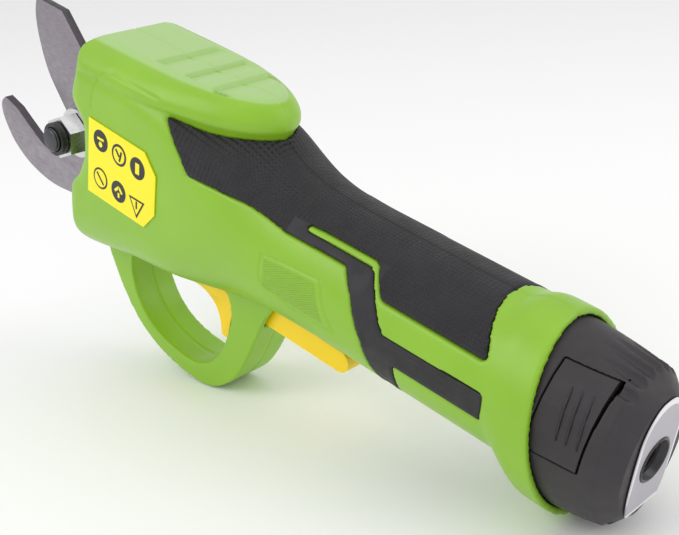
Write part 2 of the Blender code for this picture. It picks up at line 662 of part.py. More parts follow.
def build_drive():
    bearing = rod("pinion_bearing", 6.5, along_drive(35.0, 0, DRIVE_Y), along_drive(38.0, 0, DRIVE_Y), BRONZE)
    bore = rod("bearing_bore", 2.8, along_drive(20, 0, DRIVE_Y), along_drive(60, 0, DRIVE_Y), cutter=True)
    bearing = bake(cut(bearing, bore), "pinion_bearing")
    bearing.name = "pinion_bearing"
    gearbox = drive_block("gearbox", (38.3, 55.0), (-12.0, 13.0), (-12.0, 16.5), GEAR)
    relief = rod("gearbox_relief", 2.8, along_drive(30, 0, DRIVE_Y), along_drive(42, 0, DRIVE_Y), cutter=True)
    edges = gearbox.modifiers.new("rounded edges", "BEVEL")
    edges.width = 2.0 * MM
    edges.segments = 1
    gearbox = bake(cut(bake(gearbox, "gearbox_edges"), relief), "gearbox")
    gearbox.name = "gearbox"
    can = rod("motor", 13.8, along_drive(55.3), along_drive(84.0), GEAR, sides=28)
    rod("motor_end_cap", 11.5, along_drive(84.3), along_drive(87.5), NYLON, sides=24)
    smooth_shade(can)
    smooth_shade(bearing)
    for helper in (bore, relief):
        bpy.data.objects.remove(helper, do_unlink=True)


# ---------------------------------------------------------------- trigger and electronics
def build_trigger(trigger_guide, plunger_guide):
    y_range = (-TRIGGER_HALF_WIDTH, TRIGGER_HALF_WIDTH)
    trigger = plate("trigger", TRIGGER_OUTLINE, y_range, YELLOW)
    edges = trigger.modifiers.new("rounded edges", "BEVEL")
    edges.width = 1.4 * MM
    edges.segments = 1
    edges.angle_limit = math.radians(60)
    trigger = bake(trigger, "trigger")
    trigger.name = "trigger"
    ride(trigger_guide, trigger)
    switch = box("trigger_switch", (75.0, -5.0, -16.6), (92.0, 5.0, -4.5), NYLON)
    guide_hole = rod("switch_guide", 3.4, (70, 0, PLUNGER_Z), (85, 0, PLUNGER_Z), cutter=True, sides=16)
    switch = bake(cut(switch, guide_hole), "trigger_switch")
    switch.name = "trigger_switch"
    bpy.data.objects.remove(guide_hole, do_unlink=True)
    plunger = rod("switch_plunger", 1.4, (60.4, 0, PLUNGER_Z), (77.0, 0, PLUNGER_Z), YELLOW, sides=12)
    ride(plunger_guide, plunger)
    coil_turns, coil_steps = 5, 14
    curve = bpy.data.curves.new("trigger_spring", "CURVE")
    curve.dimensions = "3D"
    curve.bevel_depth = 0.35 * MM
    curve.bevel_resolution = 1
    curve.use_fill_caps = True
    line = curve.splines.new("POLY")
    count = coil_turns * coil_steps
    line.points.add(count)
    for i, point in enumerate(line.points):
        turn = 2 * math.pi * i / coil_steps
        x = 61.0 + 13.0 * i / count
        point.co = (x * MM, 2.6 * math.cos(turn) * MM, (PLUNGER_Z + 2.6 * math.sin(turn)) * MM, 1.0)
    spring = bpy.data.objects.new("trigger_spring", curve)
    PRUNER.objects.link(spring)
    curve.materials.append(ZINC)
    spring.parent = STANCE


def build_electronics():
    board = box("control_board", (97.0, -9.0, 15.0), (118.0, 9.0, 16.6), BOARD)
    block = box("terminal_block", (105.0, -11.0, -4.0), (119.0, 11.0, 9.0), NYLON)
    slots = [box(f"terminal_slot_{i}", (110.0, y - 0.8, -2.5), (122.0, y + 0.8, 7.5), cutter=True)
             for i, y in enumerate((-6.0, 6.0))]
    block = bake(cut(block, *slots), "terminal_block")
    block.name = "terminal_block"
    for helper in slots:
        bpy.data.objects.remove(helper, do_unlink=True)
    return board


def build_screws():
    for name, (x, z, reach) in SCREWS.items():
        seat = 5.0 if reach < 10 else min(reach, 19.0) - 1.5
        tip = -5.0 if reach < 10 else -13.0
        shank = rod(name, 1.4, (x, tip, z), (x, seat + 0.6, z), ZINC, sides=10)
        head = rod(name + "_head", 2.8, (x, seat + GAP, z), (x, seat + 2.2, z), ZINC, sides=14)
        smooth_shade(fuse(shank, head))


# ---------------------------------------------------------------- battery
def build_battery(battery_guide):
    stem = rod("battery_stem", STEM_RADIUS, (126.0, 0, HANDLE_Z), (192.9, 0, HANDLE_Z), BLACK, sides=32)
    core = rod("stem_core", CELL_OFFSET + CELL_RADIUS + 0.2, (127.5, 0, HANDLE_Z), (200.0, 0, HANDLE_Z),
               cutter=True, sides=32)
    stem = bake(cut(stem, core), "battery_stem")
    cap = loft("battery_cap", [
        ring(196.5, rim_half(), 2.3, RIM_LEAN), ring(201.0, rim_half(), 2.3, RIM_LEAN),
        ring(216.8, rim_half(), 4.2, 0.04), ring(BATTERY_REAR, rim_half(), 9.2, 0.0),
    ], BLACK)
    cap_core = loft("cap_core", [
        ring(195.0, rim_half(), 3.7, RIM_LEAN), ring(201.0, rim_half(), 3.9, RIM_LEAN),
        ring(215.0, rim_half(), 6.8, 0.04), ring(219.0, rim_half(), 12.0, 0.0),
    ], cutter=True)
    jack_hole = rod("jack_hole", 6.2, (212.0, 0, JACK_Z), (230.0, 0, JACK_Z), cutter=True)
    windows = box("latch_windows", (195.0, -30, LATCH_Z[0] - 0.8), (LATCH_X[1] + 1.0, 30, LATCH_Z[1] + 0.8),
                  cutter=True)
    cap = bake(cut(cap, cap_core, jack_hole, windows), "battery_cap")
    label_outline = arc((0, 7.0), 9.2, 0, 180, 14) + [(-8.6, -7.0), (-7.0, -14.8), (7.0, -14.8), (8.6, -7.0)]
    label = loft("battery_label", [
        [(x, y, z) for y, z in label_outline] for x in (BATTERY_REAR + GAP, BATTERY_REAR + GAP + 0.4)
    ], SILVER)
    label = bake(cut(label, jack_hole), "battery_label")
    jack = rod("dc_jack", 5.9, (206.0, 0, JACK_Z), (220.5, 0, JACK_Z), NYLON)
    socket = rod("jack_socket", 3.6, (209.5, 0, JACK_Z), (230.0, 0, JACK_Z), cutter=True)
    jack = bake(cut(jack, socket), "dc_jack")
    pin = rod("jack_pin", 1.0, (208.5, 0, JACK_Z), (218.5, 0, JACK_Z), COPPER, sides=12)
    jack = fuse(jack, pin)
    cells = [
        rod(f"cell_{i + 1}", CELL_RADIUS, (128.5, 0, z), (128.5 + CELL_LENGTH, 0, z), CELL, sides=24)
        for i, z in enumerate((HANDLE_Z + CELL_OFFSET, HANDLE_Z - CELL_OFFSET))
    ]
    board = box("battery_board", (197.4, -11.0, -8.0), (199.0, 11.0, 14.0), BOARD)
    contacts = [
        box(f"battery_contact_{name}", (112.0, y - 0.4, -1.0), (125.6, y + 0.4, 6.0), COPPER)
        for name, y in (("plus", -6.0), ("minus", 6.0))
    ]
    pieces = [stem, cap, label, jack, *cells, board, *contacts]
    for helper in (core, cap_core, jack_hole, windows, socket):
        bpy.data.objects.remove(helper, do_unlink=True)
    for piece, name in ((stem, "battery_stem"), (cap, "battery_cap"), (label, "battery_label"), (jack, "dc_jack")):
        piece.name = name
        smooth_shade(piece)
    ride(battery_guide, *pieces)


def build_latches(axes):
    skin = ((197.5, 2.3, RIM_LEAN), (201.0, 2.3, RIM_LEAN), (216.8, 4.2, 0.04))
    for (side, name), axis in zip(((-1, "latch_left"), (1, "latch_right")), axes):
        tab = loft(name, [ring(x, rim_half(), inset, lean) for x, inset, lean in skin], BLACK)
        core = loft(name + "_core", [ring(x, rim_half(), inset + 2.3, lean) for x, inset, lean in skin],
                    cutter=True)
        keep = box(name + "_keep", (LATCH_X[0] - 1, min(0, side * 40), LATCH_Z[0]),
                   (LATCH_X[1] - 0.2, max(0, side * 40), LATCH_Z[1]), cutter=True)
        tab = bake(cut(boolean(tab, "INTERSECT", [keep]), core), name)
        tab.name = name
        for helper in (core, keep):
            bpy.data.objects.remove(helper, do_unlink=True)
        smooth_shade(tab)
        ride(axis, tab)


# ---------------------------------------------------------------- assembly
def main():
    blade_axis = empty("blade_axis", (0, 0, 0), STANCE)
    pinion_axis = empty("pinion_axis", along_drive(CROWN_INNER, 0, DRIVE_Y), STANCE)
    trigger_guide = empty("trigger_guide", (60, 0, -28), STANCE)
    plunger_guide = empty("plunger_guide", (70, 0, -12.5), STANCE)
    battery_guide = empty("battery_guide", (200, 0, 0), STANCE)
    latch_axes = [empty(f"{name}_axis", (LATCH_X[1], side * 20.5, 10), STANCE)
                  for name, side in (("latch_left", -1), ("latch_right", 1))]
    build_housing()
    build_grip()
    build_labels()
    build_blades(blade_axis)
    build_pivot()
    build_pinion(pinion_axis)
    build_drive()
    build_trigger(trigger_guide, plunger_guide)
    build_electronics()
    build_screws()
    build_battery(battery_guide)
    build_latches(latch_axes)


main()
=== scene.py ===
"""Battery electric pruner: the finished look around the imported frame.

Shapes are given in the handle frame of the CAD model, in millimetres: the pivot is the origin, the
handle runs along +X and +Z is the top of the head. STANCE places that frame on the floor.
"""

import math

import bmesh
import bpy
import numpy as np
from mathutils import Matrix, Vector


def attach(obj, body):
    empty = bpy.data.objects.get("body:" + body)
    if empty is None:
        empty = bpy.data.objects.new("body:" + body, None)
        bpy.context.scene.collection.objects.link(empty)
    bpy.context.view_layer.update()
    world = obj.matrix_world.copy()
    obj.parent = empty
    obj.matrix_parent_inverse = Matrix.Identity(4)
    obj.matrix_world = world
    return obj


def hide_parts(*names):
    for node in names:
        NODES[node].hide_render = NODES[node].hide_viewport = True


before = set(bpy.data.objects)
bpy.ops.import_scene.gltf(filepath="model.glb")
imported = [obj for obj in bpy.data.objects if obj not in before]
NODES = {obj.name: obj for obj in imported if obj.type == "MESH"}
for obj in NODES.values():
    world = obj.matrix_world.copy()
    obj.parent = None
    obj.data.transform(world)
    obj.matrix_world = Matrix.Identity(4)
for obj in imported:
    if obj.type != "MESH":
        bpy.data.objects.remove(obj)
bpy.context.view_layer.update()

MM = 0.001
STANCE_TILT = math.radians(14.84)
STANCE_SHIFT = Vector((-84.55, 0.0, 78.7))
STANCE = Matrix.Translation(STANCE_SHIFT * MM) @ Matrix.Rotation(STANCE_TILT, 4, "Y")
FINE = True

HALF_WIDTH = 22.0
HANDLE_RADIUS = 20.8
HANDLE_Z = 3.1
HANDLE_TOP, HANDLE_BOTTOM = HANDLE_Z + HANDLE_RADIUS, HANDLE_Z - HANDLE_RADIUS
GRIP_THICKNESS = 1.2
HEAD_TOP = 43.2
HEAD_SHOULDER = 36.0
HEAD_BOTTOM = -27.0
COLLAR_FRONT, COLLAR_REAR = 186.5, 200.6
BATTERY_REAR = 221.5
RIM_WIDTH, RIM_HEIGHT, RIM_POWER, RIM_LEAN = 22.3, 26.6, 1.06, 0.24
GUARD_HALF_WIDTH = 8.0
BOLT_RADIUS = 4.0
BUSH_RADIUS = 6.3
STEM_BORE_RADIUS = 18.2
NECK_RADIUS = 17.2
JACK_RADIUS = 6.2
SECTOR_RADIUS = 31.6
JACK_Z = -0.5
LATCH_LINE_LEAN = 0.14
SIDE_ANGLES = 13


# ---------------------------------------------------------------- mesh helpers
def add_mesh(name, bm, mat=None):
    """A new object from a bmesh in millimetres, in the handle frame."""
    bmesh.ops.scale(bm, vec=Vector((MM, MM, MM)), verts=bm.verts)
    bmesh.ops.recalc_face_normals(bm, faces=bm.faces)
    mesh = bpy.data.meshes.new(name)
    bm.to_mesh(mesh)
    bm.free()
    obj = bpy.data.objects.new(name, mesh)
    bpy.context.scene.collection.objects.link(obj)
    obj.matrix_world = STANCE
    if mat:
        mesh.materials.append(mat)
    return obj


def remove(*objects):
    for obj in objects:
        bpy.data.objects.remove(obj, do_unlink=True)


def bake(obj, name=None, mat=None, keep=False):
    """The object with its modifiers applied, as a plain mesh."""
    graph = bpy.context.evaluated_depsgraph_get()
    mesh = bpy.data.meshes.new_from_object(obj.evaluated_get(graph))
    result = bpy.data.objects.new(name or obj.name, mesh)
    bpy.context.scene.collection.objects.link(result)
    result.matrix_world = STANCE
    if mat:
        mesh.materials.clear()
        mesh.materials.append(mat)
    if not keep:
        remove(obj)
        result.name = name or result.name
    return result


def box(name, low, high):
    bm = bmesh.new()
    bmesh.ops.create_cube(bm, size=1.0)
    bmesh.ops.scale(bm, vec=Vector(high) - Vector(low), verts=bm.verts)
    bmesh.ops.translate(bm, vec=(Vector(high) + Vector(low)) / 2, verts=bm.verts)
    return add_mesh(name, bm)


def bevel(obj, width, segments=3, angle=35.0):
    modifier = obj.modifiers.new("rounded edges", "BEVEL")
    modifier.width = width * MM
    modifier.segments = segments
    modifier.angle_limit = math.radians(angle)
    return obj


def soften(obj, name, voxel, repeats, mat):
    """The solid remeshed evenly, with its edges rounded off."""
    remesh = obj.modifiers.new("even mesh", "REMESH")
    remesh.mode = "VOXEL"
    remesh.voxel_size = voxel * MM * (1.0 if FINE else 1.8)
    smooth = obj.modifiers.new("soft edges", "SMOOTH")
    smooth.factor = 0.5
    smooth.iterations = repeats
    result = bake(obj, name, mat)
    result.data.shade_smooth()
    return result


def points_of(mesh):
    flat = np.empty(len(mesh.vertices) * 3, np.float32)
    mesh.vertices.foreach_get("co", flat)
    return flat.reshape(-1, 3).astype(float) / MM


def push(obj, depth_of):
    """Moves each vertex along its normal by the depth, in millimetres, that depth_of gives."""
    mesh = obj.data
    points = points_of(mesh)
    normals = np.empty(len(mesh.vertices) * 3, np.float32)
    mesh.vertex_normals.foreach_get("vector", normals)
    normals = normals.reshape(-1, 3).astype(float)
    points += normals * depth_of(points, normals)[:, None]
    mesh.vertices.foreach_set("co", (points * MM).astype(np.float32).ravel())
    mesh.update()


def distance_to(points, line, closed=False):
    """Distance in X and Z from each point to a line through the given points."""
    line = [*line, line[0]] if closed else line
    best = np.full(len(points), 1e9)
    for (ax, az), (bx, bz) in zip(line, line[1:]):
        dx, dz = bx - ax, bz - az
        t = ((points[:, 0] - ax) * dx + (points[:, 2] - az) * dz) / (dx * dx + dz * dz)
        t = np.clip(t, 0.0, 1.0)
        best = np.minimum(best, np.hypot(points[:, 0] - ax - t * dx, points[:, 2] - az - t * dz))
    return best


def finished(obj, body, slot, *nodes):
    """Moves a piece's mesh to the frame's axes, attaches it to its body and hides the nodes it replaces; the
    slot is not used.
    """
    obj.data.transform(obj.matrix_world)
    obj.matrix_world = Matrix.Identity(4)
    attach(obj, body)
    if nodes:
        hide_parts(*nodes)
    return obj


def rod(name, radius, start, end, mat=None, sides=20):
    """A cylinder, or with few sides a prism, from one point to another."""
    start, end = Vector(start), Vector(end)
    axis = end - start
    bm = bmesh.new()
    bmesh.ops.create_cone(bm, cap_ends=True, segments=sides, radius1=radius, radius2=radius,
                          depth=axis.length)
    turn = Vector((0, 0, 1)).rotation_difference(axis).to_matrix()
    bmesh.ops.rotate(bm, cent=(0, 0, 0), matrix=turn, verts=bm.verts)
    bmesh.ops.translate(bm, vec=(start + end) / 2, verts=bm.verts)
    return add_mesh(name, bm, mat)


def loft(name, rings, mat=None):
    """A closed skin through rings with the same number of points."""
    bm = bmesh.new()
    loops = [[bm.verts.new(point) for point in points] for points in rings]
    count = len(rings[0])
    for near, far in zip(loops, loops[1:]):
        for i in range(count):
            j = (i + 1) % count
            bm.faces.new((near[i], near[j], far[j], far[i]))
    bm.faces.new(loops[0])
    bm.faces.new(loops[-1])
    return add_mesh(name, bm, mat)


def boolean(obj, operation, others):
    for other in others:
        modifier = obj.modifiers.new(other.name[:50], "BOOLEAN")
        modifier.operation = operation
        modifier.solver = "EXACT"
        modifier.object = other
    return obj


def cut(obj, *cutters):
    return boolean(obj, "DIFFERENCE", cutters)


def fuse(obj, *others):
    """The union of the objects, baked into the first one."""
    name = obj.name
    boolean(obj, "UNION", others)
    result = bake(obj, name)
    remove(*others)
    result.name = name
    return result


def arc(centre, radius, start, end, count):
    angles = [math.radians(start + (end - start) * i / (count - 1)) for i in range(count)]
    return [(centre[0] + radius * math.cos(a), centre[1] + radius * math.sin(a)) for a in angles]


def spline(points, steps=3):
    """Points of a smooth open curve through the given ones."""
    ends = [points[0], *points, points[-1]]
    result = []
    for a, b, c, d in zip(ends, ends[1:], ends[2:], ends[3:]):
        for k in range(steps):
            t = k / steps
            result.append(tuple(
                0.5 * (2 * q + (r - p) * t + (2 * p - 5 * q + 4 * r - s) * t * t
                       + (3 * q - p - 3 * r + s) * t ** 3)
                for p, q, r, s in zip(a, b, c, d)
            ))
    return [*result, points[-1]]


def round_half(top, bottom, width):
    angles = [math.pi / 2 - math.pi * i / (SIDE_ANGLES - 1) for i in range(SIDE_ANGLES)]
    middle, height = (top + bottom) / 2, (top - bottom) / 2
    return [(width * math.cos(a), middle + height * math.sin(a)) for a in angles]


def head_half(top, bottom, width):
    """Flat sides, a rounded shoulder under the raised top and a rounded belly."""
    return [
        (0.0, top), (0.45 * width, top), (0.74 * width, top - 0.4), (0.92 * width, top - 1.6),
        (0.99 * width, top - 4.0), (width, top - 8.0), (width, (top + bottom) / 2),
        (width, bottom + 20.0), (0.96 * width, bottom + 13.5), (0.84 * width, bottom + 7.5),
        (0.64 * width, bottom + 3.2), (0.38 * width, bottom + 0.6), (0.0, bottom),
    ]


def rim_half():
    """The collar's section, a little squarer than an ellipse is round, and tall."""
    angles = [math.pi / 2 - math.pi * i / (SIDE_ANGLES - 1) for i in range(SIDE_ANGLES)]
    return [
        (RIM_WIDTH * abs(math.cos(a)) ** RIM_POWER,
         math.copysign(RIM_HEIGHT * abs(math.sin(a)) ** RIM_POWER, math.sin(a)))
        for a in angles
    ]


def mixed(first, second, share):
    return [(a[0] + (b[0] - a[0]) * share, a[1] + (b[1] - a[1]) * share) for a, b in zip(first, second)]


def body_half(x):
    """The half section of the head, neck and handle at x."""
    stations = [
        (20.0, HEAD_SHOULDER, -33.0, 0.0), (45.0, HEAD_SHOULDER, -28.0, 0.0),
        (58.0, HEAD_SHOULDER, HEAD_BOTTOM, 0.1), (66.0, 36.0, -26.0, 0.3), (76.0, 36.0, -24.5, 0.7),
        (88.0, 35.4, -22.0, 1.0), (96.0, 30.4, -20.2, 1.0), (103.0, 26.8, -19.0, 1.0),
        (112.0, 24.7, -18.2, 1.0), (124.0, HANDLE_TOP, HANDLE_BOTTOM, 1.0),
        (300.0, HANDLE_TOP, HANDLE_BOTTOM, 1.0),
    ]
    if x <= stations[0][0]:
        return head_half(HEAD_SHOULDER, stations[0][2], HALF_WIDTH)
    for low, high in zip(stations, stations[1:]):
        if x <= high[0]:
            break
    t = (x - low[0]) / (high[0] - low[0])
    top, bottom, share = (low[i] + (high[i] - low[i]) * t for i in (1, 2, 3))
    round_width = HALF_WIDTH + (HANDLE_RADIUS - HALF_WIDTH) * min(1.0, max(0.0, (x - 76.0) / 36.0))
    return mixed(head_half(top, bottom, HALF_WIDTH), round_half(top, bottom, round_width), share)


def grown(outline, amount):
    """The outline moved outwards by the amount, corner by corner."""
    area = sum(a[0] * b[1] - b[0] * a[1] for a, b in zip(outline, outline[1:] + outline[:1]))
    sign = 1.0 if area > 0 else -1.0
    result = []
    for before, here, after in zip([outline[-1], *outline], outline, outline[1:] + outline[:1]):
        first = (Vector(here) - Vector(before)).normalized()
        second = (Vector(after) - Vector(here)).normalized()
        normal = Vector((first.y + second.y, -first.x - second.x)).normalized() * sign
        slant = max(0.5, normal.dot(Vector((first.y, -first.x)) * sign))
        result.append(tuple(Vector(here) + normal * amount / slant))
    return result


def plate(name, outline, y_range, mat=None, holes=()):
    """A flat outline in X and Z, with holes, extruded over a range of Y."""
    curve = bpy.data.curves.new(name, "CURVE")
    curve.dimensions = "2D"
    curve.fill_mode = "BOTH"
    curve.extrude = (y_range[1] - y_range[0]) / 2 * MM
    for loop in (outline, *holes):
        closed = curve.splines.new("POLY")
        closed.points.add(len(loop) - 1)
        for point, (x, z) in zip(closed.points, loop):
            point.co = (x * MM, z * MM, 0.0, 1.0)
        closed.use_cyclic_u = True
    guide = bpy.data.objects.new(name + "_outline", curve)
    bpy.context.scene.collection.objects.link(guide)
    mesh = bpy.data.meshes.new_from_object(guide.evaluated_get(bpy.context.evaluated_depsgraph_get()))
    remove(guide)
    bm = bmesh.new()
    bm.from_mesh(mesh)
    bpy.data.meshes.remove(mesh)
    bmesh.ops.remove_doubles(bm, verts=bm.verts, dist=1e-6)
    upright = Matrix.Rotation(math.radians(90), 3, "X")
    bmesh.ops.rotate(bm, cent=(0, 0, 0), matrix=upright, verts=bm.verts)
    bmesh.ops.scale(bm, vec=Vector((1 / MM,) * 3), verts=bm.verts)
    bmesh.ops.translate(bm, vec=(0, sum(y_range) / 2, 0), verts=bm.verts)
    return add_mesh(name, bm, mat)

# ---------------------------------------------------------------- outlines, in the handle frame
FRONT_EDGE_RADIUS = 6.0
FRONT_PROFILE = [
    (130.0, 60.0), (28.0, 60.0), (25.5, 44.0), (22.0, 42.2), (20.4, 38.5), (19.0, 32.0), (17.0, 25.0),
    (18.3, 21.8), (21.0, 19.4), (23.0, 15.6), (23.3, 7.2), (22.1, 2.6), (19.5, -2.9), (16.3, -6.4),
    (15.6, -9.5), (15.6, -15.0), (16.2, -21.0), (18.0, -27.0), (21.5, -32.0), (28.0, -40.0),
    (130.0, -40.0),
]
GUARD_OUTER = spline([
    (18.5, -18.0), (19.5, -31.0), (24.5, -40.5), (31.0, -49.0), (39.0, -56.0), (49.0, -60.6),
    (60.0, -62.6), (71.0, -62.6), (79.0, -59.4), (86.0, -52.5), (91.0, -43.0), (94.5, -33.0),
    (99.0, -22.0), (106.0, -12.0),
], 6)
LOOP = spline([
    (42.0, -24.5), (35.0, -28.5), (33.2, -36.0), (36.0, -44.5), (41.5, -51.0), (49.0, -55.0),
    (58.0, -56.6), (67.0, -56.2), (74.0, -52.5), (79.3, -45.5), (82.2, -37.0), (83.2, -29.0),
    (80.0, -22.5), (70.0, -21.0), (55.0, -22.0),
], 6)
TRIGGER_OUTLINE = [
    (39.0, -21.0), (39.0, -30.5), *spline([(43.0, -31.2), (50.0, -30.0), (58.0, -28.8), (66.0, -28.4),
                                           (72.0, -30.6), (75.5, -35.0), (77.0, -41.0)], 6),
    (79.6, -41.0), (80.6, -34.0), (82.0, -27.0), (127.0, -27.0), *arc((127.0, -23.4), 3.6, -70, 70, 6),
    (84.0, -19.8), (79.0, -17.0), (60.0, -17.0), (60.0, -8.0), (55.0, -8.0), (55.0, -17.0), (50.0, -21.0),
]
CUTTING_OUTLINE = [
    *spline([(-31.3, 37.3), (-32.1, 31.0), (-30.2, 22.7), (-25.7, 13.0), (-19.6, 6.0), (-13.0, -0.5),
             (-8.6, -5.0)], 6),
    *arc((0.0, 0.0), 9.6, 215, 280, 5), (9.0, -15.0),
    *arc((0.0, 0.0), SECTOR_RADIUS, -52, 22, 14),
    (17.0, 13.5), (4.0, 18.5), (-4.9, 26.4), (-16.4, 36.8),
]
FIXED_OUTLINE = [
    *spline([(-46.6, -3.6), (-48.9, -6.0), (-49.1, -9.2), (-46.9, -13.6), (-41.2, -19.6), (-31.5, -24.4),
             (-18.8, -26.6), (-6.5, -25.6), (8.0, -23.5), (18.0, -21.5)], 6),
    (26.0, -19.0), (49.0, -19.0), (49.0, -8.2), (26.0, -6.5), (14.0, 5.0),
    *arc((0.0, 0.0), 9.8, 40, 210, 9),
    *spline([(-12.0, -11.5), (-18.2, -13.9), (-23.4, -13.2), (-31.1, -9.6), (-39.1, -5.4)], 6),
]
GRIP_OUTLINE = [
    (62.2, 34.5), (62.2, 34.0), (75.8, 19.4), (98.0, 18.4), (113.0, 15.8), (134.6, 15.8), (139.6, 10.6),
    (145.8, 0.1), (148.5, -8.7), (150.0, -22.0), (186.5, -22.0), (186.5, -13.0), (156.4, -12.6),
    (157.2, -6.5), (157.0, -1.6), (185.8, -1.4), (186.5, -0.4), (186.4, 4.9), (185.4, 5.9), (153.0, 5.6),
    (150.9, 7.5), (146.4, 13.5), (142.8, 17.4), (141.2, 17.9), (118.3, 18.0), (117.0, 18.7),
    (117.6, 19.4), (141.4, 19.5), (143.2, 19.0), (148.7, 13.5), (149.9, 13.1), (181.8, 13.1),
    (182.7, 13.8), (181.5, 16.0), (178.5, 20.2), (176.8, 22.4), (175.0, 25.0), (175.0, 30.0),
    (97.0, 34.5),
]
TOP_BASE = [(10.0, 22.1), (40.0, 21.9), (59.0, 20.4), (70.0, 18.0), (80.0, 14.8), (88.0, 10.4), (92.6, 5.4),
            (94.5, 0.0)]
TOP_PAD = [(10.0, 12.0), (40.0, 12.0), (59.0, 12.0), (66.0, 11.6), (74.0, 10.2), (81.0, 7.9), (87.0, 4.2),
           (89.5, 0.0)]


# ---------------------------------------------------------------- materials
def new_material(name, colour, roughness, metallic=0.0):
    mat = bpy.data.materials.new(name)
    mat.use_nodes = True
    shader = mat.node_tree.nodes["Principled BSDF"]
    shader.inputs["Base Color"].default_value = (*colour, 1.0)
    shader.inputs["Roughness"].default_value = roughness
    shader.inputs["Metallic"].default_value = metallic
    mat.diffuse_color = (*colour, 1.0)
    return mat, mat.node_tree, shader


def node(tree, kind, **values):
    made = tree.nodes.new("ShaderNode" + kind)
    for key, value in values.items():
        made.inputs[key].default_value = value
    return made


def math_node(tree, operation, *values):
    made = tree.nodes.new("ShaderNodeMath")
    made.operation = operation
    for socket, value in zip(made.inputs, values):
        if isinstance(value, (int, float)):
            socket.default_value = value
        else:
            tree.links.new(value, socket)
    return made.outputs[0]


def place(tree):
    """The place in the handle frame, in millimetres, as a vector and three outputs."""
    coordinates = tree.nodes.new("ShaderNodeTexCoord")
    level = tree.nodes.new("ShaderNodeMapping")
    level.vector_type = "TEXTURE"
    level.inputs["Location"].default_value = STANCE.to_translation()
    level.inputs["Rotation"].default_value = STANCE.to_euler()
    level.inputs["Scale"].default_value = (MM, MM, MM)
    tree.links.new(coordinates.outputs["Object"], level.inputs["Vector"])
    split = tree.nodes.new("ShaderNodeSeparateXYZ")
    tree.links.new(level.outputs[0], split.inputs[0])
    return level.outputs[0], split.outputs


def noise(tree, vector, size, detail=3.0):
    made = node(tree, "TexNoise", Scale=1.0 / size, Detail=detail)
    tree.links.new(vector, made.inputs["Vector"])
    return made.outputs["Fac"]


def spread(tree, fac, low, high):
    """A factor about one half stretched to run from low to high."""
    made = tree.nodes.new("ShaderNodeMapRange")
    made.inputs["From Min"].default_value = 0.3
    made.inputs["From Max"].default_value = 0.7
    made.inputs["To Min"].default_value = low
    made.inputs["To Max"].default_value = high
    tree.links.new(fac, made.inputs["Value"])
    return made.outputs[0]


def tint(tree, shader, fac, first, second):
    ramp = tree.nodes.new("ShaderNodeMix")
    ramp.data_type = "RGBA"
    ramp.inputs["A"].default_value = (*first, 1.0)
    ramp.inputs["B"].default_value = (*second, 1.0)
    tree.links.new(fac, ramp.inputs["Factor"])
    tree.links.new(ramp.outputs["Result"], shader.inputs["Base Color"])
    return ramp.outputs["Result"]


def bump(tree, shader, height, strength, distance):
    made = node(tree, "Bump", Strength=strength, Distance=distance * MM)
    tree.links.new(height, made.inputs["Height"])
    tree.links.new(made.outputs["Normal"], shader.inputs["Normal"])


def above(tree, value, edge):
    """Nought below the edge and one above it, with a short soft step."""
    made = tree.nodes.new("ShaderNodeMapRange")
    made.interpolation_type = "SMOOTHSTEP"
    made.inputs["From Min"].default_value = edge - 0.3
    made.inputs["From Max"].default_value = edge + 0.3
    tree.links.new(value, made.inputs["Value"])
    return made.outputs[0]


def below(tree, value, edge):
    return math_node(tree, "SUBTRACT", 1.0, above(tree, value, edge))


def product(tree, *factors):
    result = factors[0]
    for factor in factors[1:]:
        result = math_node(tree, "MULTIPLY", result, factor)
    return result


def grained(name, colour, roughness, grain, strength, metallic=0.0, vary=0.12, depth=0.05):
    """Moulded plastic or metal: fine grain in the bump, and slow drifts of tone and gloss."""
    mat, tree, shader = new_material(name, colour, roughness, metallic)
    vector, _ = place(tree)
    drift = noise(tree, vector, 18.0)
    light = [min(1.0, c * (1 + vary)) for c in colour]
    dark = [c * (1 - vary) for c in colour]
    tint(tree, shader, spread(tree, drift, 0.0, 1.0), dark, light)
    tree.links.new(spread(tree, noise(tree, vector, 3.0), roughness - 0.05, roughness + 0.06),
                   shader.inputs["Roughness"])
    bump(tree, shader, noise(tree, vector, grain), strength, depth)
    return mat


